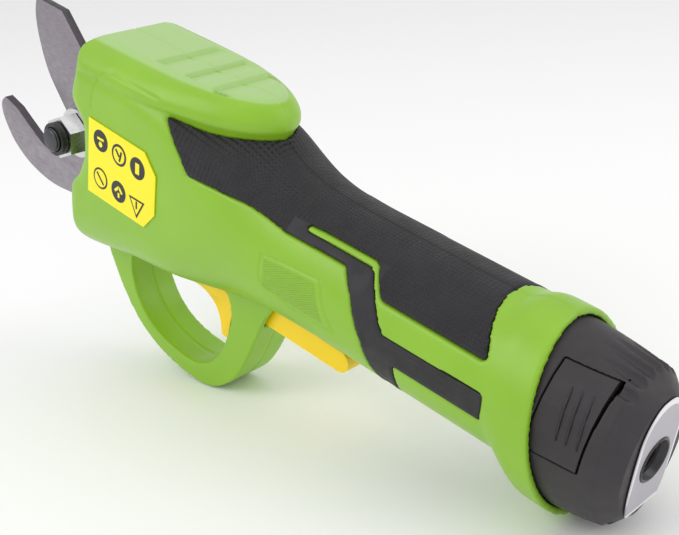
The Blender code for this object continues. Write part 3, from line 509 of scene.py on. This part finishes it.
def green_material():
    mat, tree, shader = new_material("green_housing", GREEN_COLOUR, 0.38)
    vector, (x, y, z) = place(tree)
    drift = spread(tree, noise(tree, vector, 25.0), 0.0, 1.0)
    colour = tint(tree, shader, drift, [c * 0.96 for c in GREEN_COLOUR], [c * 1.05 for c in GREEN_COLOUR])
    # Painted sheen: the flat pad on top of the head gets a lighter, paler green that stands in for the light
    # falling on it.
    pad_sheen = tree.nodes.new("ShaderNodeMix")
    pad_sheen.data_type = "RGBA"
    pad_sheen.inputs["B"].default_value = (*PAD_SHEEN_COLOUR, 1.0)
    pad = above(tree, z, HEAD_TOP - 1.1)
    tree.links.new(pad, pad_sheen.inputs["Factor"])
    tree.links.new(colour, pad_sheen.inputs["A"])
    tree.links.new(pad_sheen.outputs["Result"], shader.inputs["Base Color"])
    grain = noise(tree, vector, 0.35)
    across = math_node(tree, "SUBTRACT", math_node(tree, "MULTIPLY", z, math.cos(RIB_ANGLE)),
                       math_node(tree, "MULTIPLY", x, math.sin(RIB_ANGLE)))
    ribs = math_node(tree, "SINE", math_node(tree, "MULTIPLY", across, 2 * math.pi / RIB_PITCH))
    inside = product(tree, above(tree, x, 108.5), above(tree, z, -2.0),
                     below(tree, math_node(tree, "ADD", x, math_node(tree, "MULTIPLY", z, 0.42)), 131.3),
                     above(tree, math_node(tree, "ABSOLUTE", y), 14.0),
                     below(tree, math_node(tree, "SUBTRACT", z, math_node(tree, "MULTIPLY", x, 0.066)), 0.2))
    hatch = math_node(tree, "MULTIPLY", ribs, math_node(tree, "MULTIPLY", inside, 1.6))
    height = math_node(tree, "ADD", hatch, math_node(tree, "MULTIPLY", grain, 0.16))
    bump(tree, shader, height, 0.6, 0.12)
    tree.links.new(spread(tree, noise(tree, vector, 4.0), 0.34, 0.42), shader.inputs["Roughness"])
    shader.inputs["Coat Weight"].default_value = 0.12
    shader.inputs["Coat Roughness"].default_value = 0.25
    return mat


def rubber_material():
    """Soft rubber, with a fine net of raised dots everywhere but on the narrow smooth strips."""
    mat, tree, shader = new_material("grip_rubber", RUBBER_COLOUR, 0.62)
    vector, (x, y, z) = place(tree)
    drift = spread(tree, noise(tree, vector, 12.0), 0.0, 1.0)
    tint(tree, shader, drift, [c * 0.85 for c in RUBBER_COLOUR], [c * 1.2 for c in RUBBER_COLOUR])
    around = math_node(tree, "ARCTAN2", y, math_node(tree, "SUBTRACT", z, HANDLE_Z))
    u = math_node(tree, "MULTIPLY", around, HANDLE_RADIUS * 2 * math.pi / DOT_PITCH)
    v = math_node(tree, "MULTIPLY", x, 2 * math.pi / (1.25 * DOT_PITCH))
    first = math_node(tree, "SINE", math_node(tree, "ADD", u, v))
    second = math_node(tree, "SINE", math_node(tree, "SUBTRACT", u, v))
    dots = math_node(tree, "MULTIPLY", first, second)
    front = below(tree, x, 112.0)
    middle = product(tree, above(tree, x, 112.0), above(tree, z, 19.8), below(tree, x, 146.0))
    rear = product(tree, above(tree, x, 146.0), above(tree, z, 14.0))
    zone = math_node(tree, "MAXIMUM", front, math_node(tree, "MAXIMUM", middle, rear))
    height = math_node(tree, "ADD", math_node(tree, "MULTIPLY", dots, zone),
                       math_node(tree, "MULTIPLY", noise(tree, vector, 0.3), 0.3))
    bump(tree, shader, height, 1.0, 0.32)
    tree.links.new(spread(tree, noise(tree, vector, 5.0), 0.5, 0.66), shader.inputs["Roughness"])
    return mat


def steel_material(name, colour, roughness):
    """Ground steel: streaks along the blade and a few darker patches."""
    mat, tree, shader = new_material(name, colour, roughness, 1.0)
    vector, _ = place(tree)
    stretch = tree.nodes.new("ShaderNodeVectorMath")
    stretch.operation = "MULTIPLY"
    stretch.inputs[1].default_value = (0.15, 1.0, 1.6)
    tree.links.new(vector, stretch.inputs[0])
    streaks = noise(tree, stretch.outputs[0], 0.5, 6.0)
    tint(tree, shader, spread(tree, streaks, 0.0, 1.0), [c * 0.8 for c in colour], [c * 1.15 for c in colour])
    tree.links.new(spread(tree, noise(tree, vector, 3.0), roughness - 0.08, roughness + 0.1),
                   shader.inputs["Roughness"])
    bump(tree, shader, streaks, 0.25, 0.03)
    return mat


def label_material():
    """The silver end label with its white border."""
    mat, tree, shader = new_material("silver_label", (0.45, 0.43, 0.47), 0.35)
    vector, (_, y, z) = place(tree)
    upper = math_node(tree, "MAXIMUM", math_node(tree, "SUBTRACT", z, 7.0), 0.0)
    reach = math_node(tree, "SQRT", math_node(tree, "ADD", math_node(tree, "MULTIPLY", y, y),
                                              math_node(tree, "MULTIPLY", upper, upper)))
    border = math_node(tree, "MAXIMUM", above(tree, reach, 8.2), below(tree, z, -14.0))
    tint(tree, shader, border, (0.42, 0.40, 0.44), (0.8, 0.79, 0.81))
    bump(tree, shader, noise(tree, vector, 0.4), 0.15, 0.02)
    return mat


GREEN_COLOUR = (0.252, 0.500, 0.018)
# The lighter, paler green painted on the top pad as a sheen.
PAD_SHEEN_COLOUR = (0.37, 0.58, 0.19)
RUBBER_COLOUR = (0.015, 0.0135, 0.017)
RIB_ANGLE, RIB_PITCH = math.radians(24.7), 0.65
DOT_PITCH = 2.3

GREEN = green_material()
RUBBER = rubber_material()
YELLOW = grained("yellow_trigger", (1.0, 0.68, 0.0), 0.34, 0.5, 0.1, vary=0.02)
STICKER = grained("yellow_sticker", (1.0, 0.87, 0.0), 0.3, 1.2, 0.08, vary=0.02)
BATTERY = grained("battery_black", (0.027, 0.023, 0.026), 0.52, 0.32, 0.5, vary=0.15, depth=0.09)
GLOSS_BLACK = grained("smooth_black", (0.02, 0.018, 0.02), 0.3, 0.8, 0.1)
SILVER = label_material()
BLADE = steel_material("blade_steel", (0.34, 0.31, 0.34), 0.38)
SPINE = steel_material("blade_spine", (0.10, 0.09, 0.10), 0.45)
ZINC = grained("zinc_plated", (0.66, 0.66, 0.66), 0.28, 0.6, 0.15, metallic=1.0)
DARK_STEEL = grained("dark_thread", (0.09, 0.09, 0.10), 0.38, 0.5, 0.2, metallic=1.0)
GEAR = grained("gear_steel", (0.4, 0.4, 0.42), 0.35, 0.5, 0.2, metallic=1.0)
BRONZE = grained("sintered_bronze", (0.5, 0.3, 0.12), 0.42, 0.25, 0.4, metallic=1.0)
NYLON = grained("black_nylon", (0.02, 0.02, 0.022), 0.45, 0.4, 0.2)
BOARD = grained("circuit_board", (0.02, 0.16, 0.06), 0.4, 0.8, 0.2)
CELL = grained("cell_wrap", (0.10, 0.25, 0.55), 0.32, 1.0, 0.08)
COPPER = grained("contact_brass", (0.7, 0.5, 0.2), 0.3, 0.5, 0.1, metallic=1.0)


# ---------------------------------------------------------------- fine sections of the body
def fine(half, steps=4):
    """A smooth half section through the given points, upright where it meets the middle."""
    points = [(-half[1][0], half[1][1]), *half, (-half[-2][0], half[-2][1])]
    return spline(points, steps)[steps:-steps]


def smooth_half(x):
    """The body's half section, averaged over a few millimetres of its length."""
    steps = [(d, math.exp(-0.5 * (d / 2.6) ** 2)) for d in (-6, -4.5, -3, -1.5, 0, 1.5, 3, 4.5, 6)]
    total = sum(w for _, w in steps)
    halves = [(w / total, body_half(x + d)) for d, w in steps]
    return [
        tuple(sum(w * half[i][k] for w, half in halves) for k in (0, 1))
        for i in range(SIDE_ANGLES)
    ]


def ring(x, half, inset=0.0, lean=0.0):
    """A closed ring at x from a half section, drawn in by the inset, its top leaning forward."""
    near = fine(half)
    width = max(y for y, _ in near)
    top, bottom = near[0][1], near[-1][1]
    middle, height = (top + bottom) / 2, (top - bottom) / 2
    near = [(y * (width - inset) / width, middle + (z - middle) * (height - inset) / height)
            for y, z in near]
    return [(x - lean * z, -y, z) for y, z in near] + [(x - lean * z, y, z) for y, z in near[-2:0:-1]]


def body_skin(name, inset, start, end):
    count = int((end - start) / 2.0)
    stations = [start + (end - start) * i / count for i in range(count + 1)]
    return loft(name, [ring(x, smooth_half(x), inset) for x in stations])


def raised_top(name, inset):
    """The raised block on the head, up to its flat pad, drawn in by the inset."""
    levels = [(24.0, 4.5, 0.0), (31.0, 2.5, 0.0), *spline([(34.8, 0.0, 0.0), (37.5, 0.0, 0.06),
              (40.6, 0.0, 0.4), (HEAD_TOP - 0.7, 0.0, 0.86), (HEAD_TOP, 0.0, 1.0)], 4)]
    base, pad = spline(TOP_BASE, 5), spline(TOP_PAD, 5)
    rings = []
    for z, side, share in levels:
        near = []
        # A block that is grown goes down at its foot, which is inside the head, and up at its top.
        lift = inset if inset < 0 and z < HEAD_SHOULDER - 2 else -inset
        outline = mixed(base, pad, min(1.0, max(0.0, share)))
        width = outline[0][1]
        for x, y in outline:
            drawn_in = (inset + side) * min(1.0, max(0.0, (x - 40.0) / 50.0))
            near.append((x - drawn_in, y * (width - inset - side) / width, z + lift))
        rings.append([(x, -y, z) for x, y, z in near] + [(x, y, z) for x, y, z in near[-2::-1]])
    return loft(name, rings)


def grip_zone(name, clearance):
    """The layer of the handle that the rubber fills, with the clearance around it."""
    zone = body_skin(name, 0.02 - 0.4 * clearance, 58.0, COLLAR_FRONT - 1.0)
    core = body_skin(name + "_core", GRIP_THICKNESS + clearance, 57.0, COLLAR_FRONT)
    region = plate(name + "_region", grown(GRIP_OUTLINE, clearance), (-30, 30))
    roof = raised_top(name + "_roof", clearance - 0.35)
    rib = 4.3 - clearance
    rear_channel = box(name + "_channel", (145, -rib, -30), (190, rib, -8))
    boolean(zone, "INTERSECT", [region])
    cut(zone, core, rear_channel, roof)
    zone = bake(zone, name)
    remove(core, region, roof, rear_channel)
    return zone


# ---------------------------------------------------------------- housing
PANEL_LINE = [(60.0, 37.0), (45.2, 38.0), (39.1, 38.3), (34.0, 35.4), (31.4, 28.8), (30.9, 24.5)]
HATCH_LINE = [(107.4, 8.4), (128.3, 10.0), (130.2, 8.2), (132.0, 3.8), (136.4, -3.4), (118.5, -3.6),
              (114.2, -1.9), (109.2, -1.6), (107.4, 0.5)]
PAD_STEPS = (49.5, 62.3, 74.0)


def front_cutter():
    """The head's front seen from the side, with its upright edges rounded off."""
    profile = [*FRONT_PROFILE[:2], *spline(FRONT_PROFILE[2:-2], 3), *FRONT_PROFILE[-2:]]
    bends = [HALF_WIDTH + 2 - 0.5 * i for i in range(18)]
    rings = []
    for y in [-b for b in bends] + bends[::-1]:
        share = min(1.0, max(0.0, (abs(y) - HALF_WIDTH + FRONT_EDGE_RADIUS) / FRONT_EDGE_RADIUS))
        shift = FRONT_EDGE_RADIUS * (1 - math.sqrt(1 - share * share))
        rings.append([(x + shift, y, z) for x, z in profile])
    return loft("front_profile", rings)


def build_housing():
    """Both shells of the housing as one skin, with guard, collar, panel lines and the pad's steps."""
    shell = fuse(body_skin("shell", 0.0, 10.0, COLLAR_FRONT), raised_top("top_block", 0.0))
    nose = box("nose_region", (-10, -40, -80), (118, 40, 80))
    tail = box("tail_region", (118, -40, -80), (300, 40, 80))
    head = bake(boolean(shell, "INTERSECT", [nose]), "head", keep=True)
    shell.modifiers.clear()
    rest = bake(boolean(shell, "INTERSECT", [tail]), "rest")
    profile = front_cutter()
    head = bake(boolean(head, "INTERSECT", [profile]), "head_cut")
    guard = plate("guard", GUARD_OUTER, (-GUARD_HALF_WIDTH, GUARD_HALF_WIDTH), holes=[LOOP])
    guard = bake(bevel(guard, 2.8, 5, 50.0), "guard_round")
    handle = body_half(180.0)
    collar = loft("collar", [
        ring(x, mixed(handle, rim_half(), share), inset, RIM_LEAN) for x, share, inset in (
            (181.5, 0.0, 0.4), (184.5, 0.0, 0.1), (186.5, 0.08, 0.0), (187.6, 0.25, 0.0), (189.0, 0.5, 0.0),
            (190.6, 0.76, 0.0), (192.2, 0.94, 0.0), (193.4, 0.99, 0.0), (197.0, 1.0, 0.0),
            (COLLAR_REAR, 1.0, 0.0))
    ])
    shell = fuse(head, rest, guard, collar)
    mouth = loft("collar_mouth", [
        ring(COLLAR_FRONT - 5.0, handle, 2.6), ring(190.0, mixed(handle, rim_half(), 0.45), 2.3, RIM_LEAN),
        ring(194.5, rim_half(), 1.9, RIM_LEAN), ring(COLLAR_REAR + 2.0, rim_half(), 1.9, RIM_LEAN),
    ])
    bore = rod("stem_bore", STEM_BORE_RADIUS, (90, 0, HANDLE_Z), (190, 0, HANDLE_Z), sides=64)
    slot = plate("blade_slot", [(8.0, 30.0), (34.0, 30.0), (34.0, -22.0), (25.0, -24.0), (20.0, -28.0),
                                (8.0, -32.0)], (-5.2, 5.8))
    trigger_slot = box("trigger_slot", (36.5, -6.1, -43.5), (86.8, 6.1, -13.0))
    bar_slot = box("bar_slot", (84.0, -6.1, -28.0), (138.5, 6.1, -15.2))
    recess = grip_zone("grip_recess", 0.22)
    tools = (mouth, bore, slot, trigger_slot, bar_slot, recess)
    cut(shell, *tools)
    shell = bake(shell, "shell_cut")
    remove(nose, tail, profile, *tools)
    shell = soften(shell, "housing_shell", 0.5, 4, GREEN)

    def details(points, normals):
        x, y, z = points.T
        side = np.abs(y)
        parting = np.where(side < 0.6, -0.4 * (1 - side / 0.6), 0.0) * (np.abs(normals[:, 1]) < 0.5)
        on_side = np.clip((side - 12.0) / 3.0, 0, 1) * (np.abs(normals[:, 1]) > 0.5)
        panel = -0.35 * np.clip(1 - distance_to(points, PANEL_LINE) / 0.9, 0, 1) * on_side
        hatch = -0.4 * np.clip(1 - distance_to(points, HATCH_LINE, closed=True) / 0.7, 0, 1) * on_side
        pad = (z > HEAD_TOP - 1.0) & (normals[:, 2] > 0.8)
        steps = np.zeros(len(points))
        for start in PAD_STEPS:
            behind = x - start
            steps += np.where((behind > 0) & (behind < 7.0), -1.1 * (1 - behind / 7.0), 0.0)
            steps += np.where((behind > -0.6) & (behind <= 0), -1.1 * (1 + behind / 0.6), 0.0)
        steps *= np.clip((11.6 - side) / 0.8, 0, 1) * pad
        return parting + panel + hatch + steps

    push(shell, details)
    return finished(shell, "housing", "green_housing", "housing_left", "housing_right")


def build_grip():
    """Both rubber inserts as one layer, with a thin lip along the edge and the parting line."""
    layer = soften(grip_zone("grip_layer", 0.02), "grip_insert", 0.45, 2, RUBBER)

    def details(points, _):
        _, y, z = points.T
        rim = distance_to(points, GRIP_OUTLINE, closed=True)
        outer = np.hypot(y, z - HANDLE_Z) > 19.0
        lip = 0.12 * np.exp(-((rim - 1.2) / 0.5) ** 2) * outer
        parting = np.where(np.abs(y) < 0.5, -0.3 * (1 - np.abs(y) / 0.5), 0.0)
        return lip + parting

    push(layer, details)
    return finished(layer, "housing", "grip_rubber", "grip_left", "grip_right")


# ---------------------------------------------------------------- blades, bolt and trigger
def ground_blade(name, outline, y_range, hole):
    """A flat blade with a round hole, its narrow sides darker than its ground faces."""
    holes = [arc((0, 0), hole, 0, 352, 45)]
    blade = plate(name, outline, y_range, BLADE, holes=holes)
    blade = bake(bevel(blade, 0.3, 2, 40.0), name, BLADE)
    blade.data.materials.append(SPINE)
    points = points_of(blade.data)
    rims = [math.sqrt(min((x - p[0]) ** 2 + (z - p[1]) ** 2 for p in outline)) for x, _, z in points]
    for polygon in blade.data.polygons:
        if all(rims[i] < 0.7 for i in polygon.vertices) and abs(polygon.normal.y) < 0.6:
            polygon.material_index = 1
    blade.data.shade_smooth()
    blade.data.set_sharp_from_angle(angle=math.radians(30))
    return blade


def build_blades():
    fixed = ground_blade("hook_blade", FIXED_OUTLINE, (-4.6, -1.6), BOLT_RADIUS + 0.3)
    finished(fixed, "housing", "blade_steel", "fixed_blade")
    moving = ground_blade("moving_blade", CUTTING_OUTLINE, (0.0, 3.0), BUSH_RADIUS)
    finished(moving, "cutting_blade", "blade_steel", "cutting_blade")


def build_bolt():
    """The bolt's hexagonal head and its threaded end, and softer edges on the nut and the washers."""
    radii = []
    for i in range(120):
        y = -16.6 + 22.0 * i / 119
        depth = 0.28 * max(0.0, math.cos(2 * math.pi * y / 1.25)) if y < -4 else 0.0
        radii.append((y, BOLT_RADIUS - depth))
    radii = [(-17.0, 3.2), *radii]
    rings = [[(r * math.cos(a), y, r * math.sin(a)) for a in (2 * math.pi * k / 48 for k in range(48))]
             for y, r in radii]
    bolt = loft("bolt_thread", rings, DARK_STEEL)
    bolt.data.shade_smooth()
    head = bevel(rod("bolt_head", 7.5, (0, 5.3, 0), (0, 10.3, 0), ZINC, sides=6), 0.7, 3)
    finished(head, "housing", "zinc_plated", "pivot_bolt")
    finished(bolt, "housing", "zinc_plated")
    for name in ("pivot_nut", "nut_insert", "pivot_washer", "head_washer", "spacer_washer"):
        bevel(NODES[name], 0.45, 3, 25.0)
        NODES[name].data.shade_smooth()


def build_trigger():
    trigger = plate("finger_trigger", TRIGGER_OUTLINE, (-5.5, 5.5), YELLOW)
    trigger = bake(bevel(trigger, 1.5, 5, 40.0), "finger_trigger", YELLOW)
    trigger.data.shade_smooth()
    trigger.data.set_sharp_from_angle(angle=math.radians(28))
    finished(trigger, "trigger", "yellow_trigger", "trigger")


# ---------------------------------------------------------------- film labels with pictograms
def disc(name, centre, radius, y_range, mat, sides=40, turn=0.0):
    outline = [(centre[0] + radius * math.cos(turn + 2 * math.pi * i / sides),
                centre[1] + radius * math.sin(turn + 2 * math.pi * i / sides)) for i in range(sides)]
    return plate(name, outline, y_range, mat)


def strip(name, start, end, width, y_range, mat):
    """A straight bar between two places in X and Z, of the width given."""
    (ax, az), (bx, bz) = start, end
    length = math.hypot(bx - ax, bz - az)
    nx, nz = -(bz - az) / length * width / 2, (bx - ax) / length * width / 2
    return plate(name, [(ax + nx, az + nz), (bx + nx, bz + nz), (bx - nx, bz - nz), (ax - nx, az - nz)],
                 y_range, mat)


def build_sticker(side, name):
    """A film with five round pictograms and one triangular one, each built up from thin layers."""
    surface = HALF_WIDTH + 0.54

    def layer(low, high):
        return sorted((side * (surface + low), side * (surface + high)))

    outline = [(30.3, 21.1), (57.7, 19.9), (63.0, 14.0), (62.7, 0.9), (57.7, -5.1), (29.4, -4.3)]
    film = plate("film_" + name, outline, layer(-0.5, 0.0), STICKER)
    film = bake(bevel(film, 0.12, 2, 30.0), "film_" + name, STICKER)
    finished(film, "housing", "yellow_sticker", "side_label_" + name)
    first, second, third = layer(-0.02, 0.05), layer(0.02, 0.10), layer(0.08, 0.16)
    black, yellow = [], []

    def black_strip(label, start, end, width):
        black.append(strip(label, start, end, width, third, NYLON))

    def yellow_strip(label, start, end, width):
        yellow.append(strip(label, start, end, width, second, STICKER))

    marks = [((36.4, 15.4), "bar"), ((45.6, 14.2), "fork"), ((54.6, 13.4), "block"),
             ((36.2, 2.6), "ring"), ((45.4, 1.8), "house")]
    for i, ((x, z), kind) in enumerate(marks):
        glyph, glyph2, glyph3 = (f"glyph{k}_{name}_{i}" for k in ("", "2", "3"))
        black.append(disc(f"mark_{name}_{i}", (x, z), 3.55, first, NYLON))
        if kind == "bar":
            yellow_strip(glyph, (x - 1.6, z + 0.6), (x + 1.6, z + 0.6), 0.8)
            yellow.append(disc(glyph2, (x, z - 1.2), 0.9, second, STICKER, 24))
        elif kind == "fork":
            yellow.append(disc(glyph, (x, z), 2.7, second, STICKER))
            black_strip(glyph2, (x - 1.5, z + 1.6), (x + 0.2, z - 0.4), 0.8)
            black_strip(glyph3, (x + 1.3, z + 1.5), (x + 0.3, z - 2.0), 0.8)
        elif kind == "block":
            yellow_strip(glyph, (x, z - 1.9), (x, z + 1.7), 1.9)
        elif kind == "ring":
            yellow.append(disc(glyph, (x, z), 2.9, second, STICKER))
            black_strip(glyph2, (x - 1.7, z + 1.7), (x + 1.7, z - 1.7), 0.7)
        else:
            yellow_strip(glyph, (x - 1.8, z - 0.2), (x + 0.2, z + 1.6), 0.9)
            yellow_strip(glyph2, (x + 0.2, z + 1.6), (x + 1.8, z - 0.2), 0.9)
            yellow_strip(glyph3, (x + 0.1, z - 2.0), (x + 0.1, z - 0.4), 0.9)
    centre, point_down = (54.4, 0.9), math.radians(-90)
    black.append(disc(f"mark_{name}_5", centre, 4.4, first, NYLON, 3, point_down))
    yellow.append(disc(f"glyph_{name}_5", centre, 3.2, second, STICKER, 3, point_down))
    black_strip(f"glyph2_{name}_5", (54.4, 2.3), (54.4, -0.2), 0.7)
    for obj in black:
        finished(obj, "housing", "black_nylon")
    for obj in yellow:
        finished(obj, "housing", "yellow_sticker")


# ---------------------------------------------------------------- battery
def build_battery_cap():
    """The cap behind the collar, with its jack hole, latch windows, flutes and foot notches."""
    skin = [(196.5, 2.3, RIM_LEAN), (201.0, 2.3, RIM_LEAN), (209.0, 3.05, 0.14), (216.8, 4.2, 0.04)]
    rings = [ring(x, rim_half(), inset, lean) for x, inset, lean in spline(skin, 5)]
    cap = loft("cap", [*rings, ring(BATTERY_REAR, rim_half(), 9.2)])
    neck = rod("cap_neck", NECK_RADIUS, (189.0, 0, HANDLE_Z), (200.0, 0, HANDLE_Z), sides=64)
    cap = fuse(cap, neck)
    core = loft("cap_core", [ring(x, rim_half(), inset + 5.8, lean) for x, inset, lean in skin])
    # The rear of the opening slants back towards the middle, where a pressed latch swings out.
    opening = [(198.5, -30), (212.9, -30), (212.9, -17), (214.0, -2), (214.0, 2), (212.9, 17), (212.9, 30),
               (198.5, 30)]
    windows = loft("latch_windows", [[(x, y, z) for x, y in opening] for z in (-1.35, 20.35)])
    windows = bake(cut(windows, core), "latch_windows")
    remove(core)
    jack_hole = rod("jack_hole", JACK_RADIUS, (205.0, 0, JACK_Z), (230.0, 0, JACK_Z), sides=48)
    tools = [jack_hole, windows]
    for i, y in enumerate((-11.2, -6.8, -2.3, 2.3, 6.8, 11.2)):
        low = 24.1 - 0.030 * y * y
        start, end = (204.6 + abs(y) * 0.12, y, low + 1.0), (224.0, y * 0.74, low - 2.6)
        tools.append(rod(f"flute_{i}", 1.75, start, end, sides=32))
    for i, side in enumerate((-1, 1)):
        tools.append(box(f"notch_{i}", (217.0, side * 6.0 - 1.5, -26.0), (226.0, side * 6.0 + 1.5, -18.5)))
    cut(cap, *tools)
    cap = bake(cap, "cap_cut")
    remove(*tools)
    cap = soften(cap, "battery_shell", 0.3, 3, BATTERY)
    finished(cap, "battery", "battery_black", "battery_cap")


def build_end_label():
    """The silver label on the battery's end and the raised rim of the charging jack in it."""
    outline = spline([(-6.8, -14.9), (-8.2, -10.6), (-8.9, -4.0), (-9.0, 4.0), (-8.4, 9.5), (-6.1, 13.9),
                      (-2.6, 16.4), (2.6, 16.4), (6.1, 13.9), (8.4, 9.5), (9.0, 4.0), (8.9, -4.0),
                      (8.2, -10.6), (6.8, -14.9)], 4)
    label = loft("end_label", [[(x, y, z) for y, z in outline] for x in (221.8, 222.2)], SILVER)
    hole = rod("label_hole", JACK_RADIUS, (215.0, 0, JACK_Z), (230.0, 0, JACK_Z), sides=48)
    label = bake(bevel(bake(cut(label, hole), "label_cut"), 0.1, 2), "end_label", SILVER)
    remove(hole)
    finished(label, "battery", "silver_label", "battery_label")
    angles = [2 * math.pi * k / 64 for k in range(64)]
    profile = ((219.6, 5.3), (222.3, 5.3), (222.6, 5.7), (222.3, 6.15), (219.6, 6.15))
    rim = loft("jack_rim", [[(x, r * math.cos(a), JACK_Z + r * math.sin(a)) for a in angles]
                            for x, r in profile], GLOSS_BLACK)
    rim.data.shade_smooth()
    finished(rim, "battery", "battery_black")


def build_latch_lines():
    """Rounded edges on the two latches, and three thin finger lines on each."""
    for side, name in ((-1, "latch_left"), (1, "latch_right")):
        bevel(NODES[name], 0.5, 3, 30.0)
        for k, x in enumerate((205.0, 207.6, 210.4)):
            points = [(x - LATCH_LINE_LEAN * (z - 10), side * side_of(x, z), z)
                      for z in (4.6, 8.5, 12.5, 16.4)]
            line = tube(f"{name}_line_{k}", points, 0.28, GLOSS_BLACK)
            finished(line, name, "battery_black")


def side_of(x, z):
    """Half the width of the battery cap's skin at x and z, in millimetres."""
    inset = 2.3 if x < 201 else 2.3 + (x - 201) * 0.12
    half = [(y * (RIM_WIDTH - inset) / RIM_WIDTH, v * (RIM_HEIGHT - inset) / RIM_HEIGHT)
            for y, v in fine(rim_half())]
    return float(np.interp(-z, [-v for _, v in half], [y for y, _ in half]))


def tube(name, points, radius, mat):
    """A thin round bead along the points."""
    rings = []
    for i, point in enumerate(points):
        size = radius if 0 < i < len(points) - 1 else 0.6 * radius
        rings.append([(point[0] + size * math.cos(a), point[1] + size * math.sin(a), point[2])
                      for a in (2 * math.pi * k / 12 for k in range(12))])
    bead = loft(name, rings, mat)
    bead.data.shade_smooth()
    return bead


# ---------------------------------------------------------------- everything
build_housing()
build_grip()
build_blades()
build_bolt()
build_trigger()
build_sticker(-1, "left")
build_sticker(1, "right")
build_battery_cap()
build_end_label()
build_latch_lines()

KEPT = {
    "battery_stem": BATTERY, "latch_left": BATTERY, "latch_right": BATTERY,
    "dc_jack": NYLON, "pivot_nut": ZINC, "nut_insert": NYLON, "pivot_washer": ZINC, "head_washer": ZINC,
    "spacer_washer": BRONZE, "blade_bush": BRONZE, "pinion_bearing": BRONZE, "drive_pinion": GEAR,
    "gearbox": GEAR, "motor": GEAR, "motor_end_cap": NYLON, "trigger_switch": NYLON,
    "switch_plunger": YELLOW, "trigger_spring": ZINC, "control_board": BOARD, "battery_board": BOARD,
    "terminal_block": NYLON, "cell_1": CELL, "cell_2": CELL, "battery_contact_plus": COPPER,
    "battery_contact_minus": COPPER,
}
for i in range(1, 8):
    KEPT[f"housing_screw_{i}"] = ZINC
for name, mat in KEPT.items():
    mesh = NODES[name].data
    mesh.materials.clear()
    mesh.materials.append(mat)

# ---------------------------------------------------------------- floor, light and camera
bpy.context.scene.view_settings.view_transform = "Standard"
bpy.ops.mesh.primitive_plane_add(size=8.0, location=(0, 0, -0.0004))
floor = bpy.context.object
floor.name = "floor"
floor_mat, _, _ = new_material("floor_white", (0.96, 0.96, 0.96), 0.8)
floor.data.materials.append(floor_mat)

world = bpy.data.worlds.new("studio")
bpy.context.scene.world = world
world.use_nodes = True
world.node_tree.nodes["Background"].inputs["Color"].default_value = (1.0, 1.0, 1.0, 1.0)
world.node_tree.nodes["Background"].inputs["Strength"].default_value = 0.8


def area_light(name, at, size, power, target=(0.0, 0.0, 0.06)):
    light = bpy.data.lights.new(name, "AREA")
    light.shape = "RECTANGLE"
    light.size, light.size_y = size
    light.energy = power
    obj = bpy.data.objects.new(name, light)
    bpy.context.scene.collection.objects.link(obj)
    obj.location = at
    obj.rotation_euler = (Vector(target) - Vector(at)).to_track_quat("-Z", "Y").to_euler()


area_light("key", (-0.35, -0.75, 0.75), (0.6, 0.6), 2.6)
area_light("top", (0.1, 0.1, 0.95), (0.8, 0.8), 0.9)
area_light("rear", (0.7, 0.35, 0.45), (0.5, 0.5), 1.2)

AZIMUTH, ELEVATION, ROLL = (math.radians(v) for v in (40.908, 30.395, 6.454))
DISTANCE, TARGET = 265.898, Vector((154.53, -41.713, 34.302))
back = Vector((math.sin(AZIMUTH) * math.cos(ELEVATION), -math.cos(AZIMUTH) * math.cos(ELEVATION),
               math.sin(ELEVATION)))
level = Vector((math.cos(AZIMUTH), math.sin(AZIMUTH), 0.0))
upright = back.cross(level)
right = level * math.cos(ROLL) + upright * math.sin(ROLL)
up = -level * math.sin(ROLL) + upright * math.cos(ROLL)
pose = Matrix((right, up, back)).transposed().to_4x4()
pose.translation = (TARGET + back * DISTANCE) * MM
camera_data = bpy.data.cameras.new("camera")
camera = bpy.data.objects.new("camera", camera_data)
bpy.context.scene.collection.objects.link(camera)
camera.matrix_world = STANCE @ pose
camera_data.sensor_width = 36.0
camera_data.lens = 61.648
camera_data.clip_start = 0.01
bpy.context.scene.camera = camera
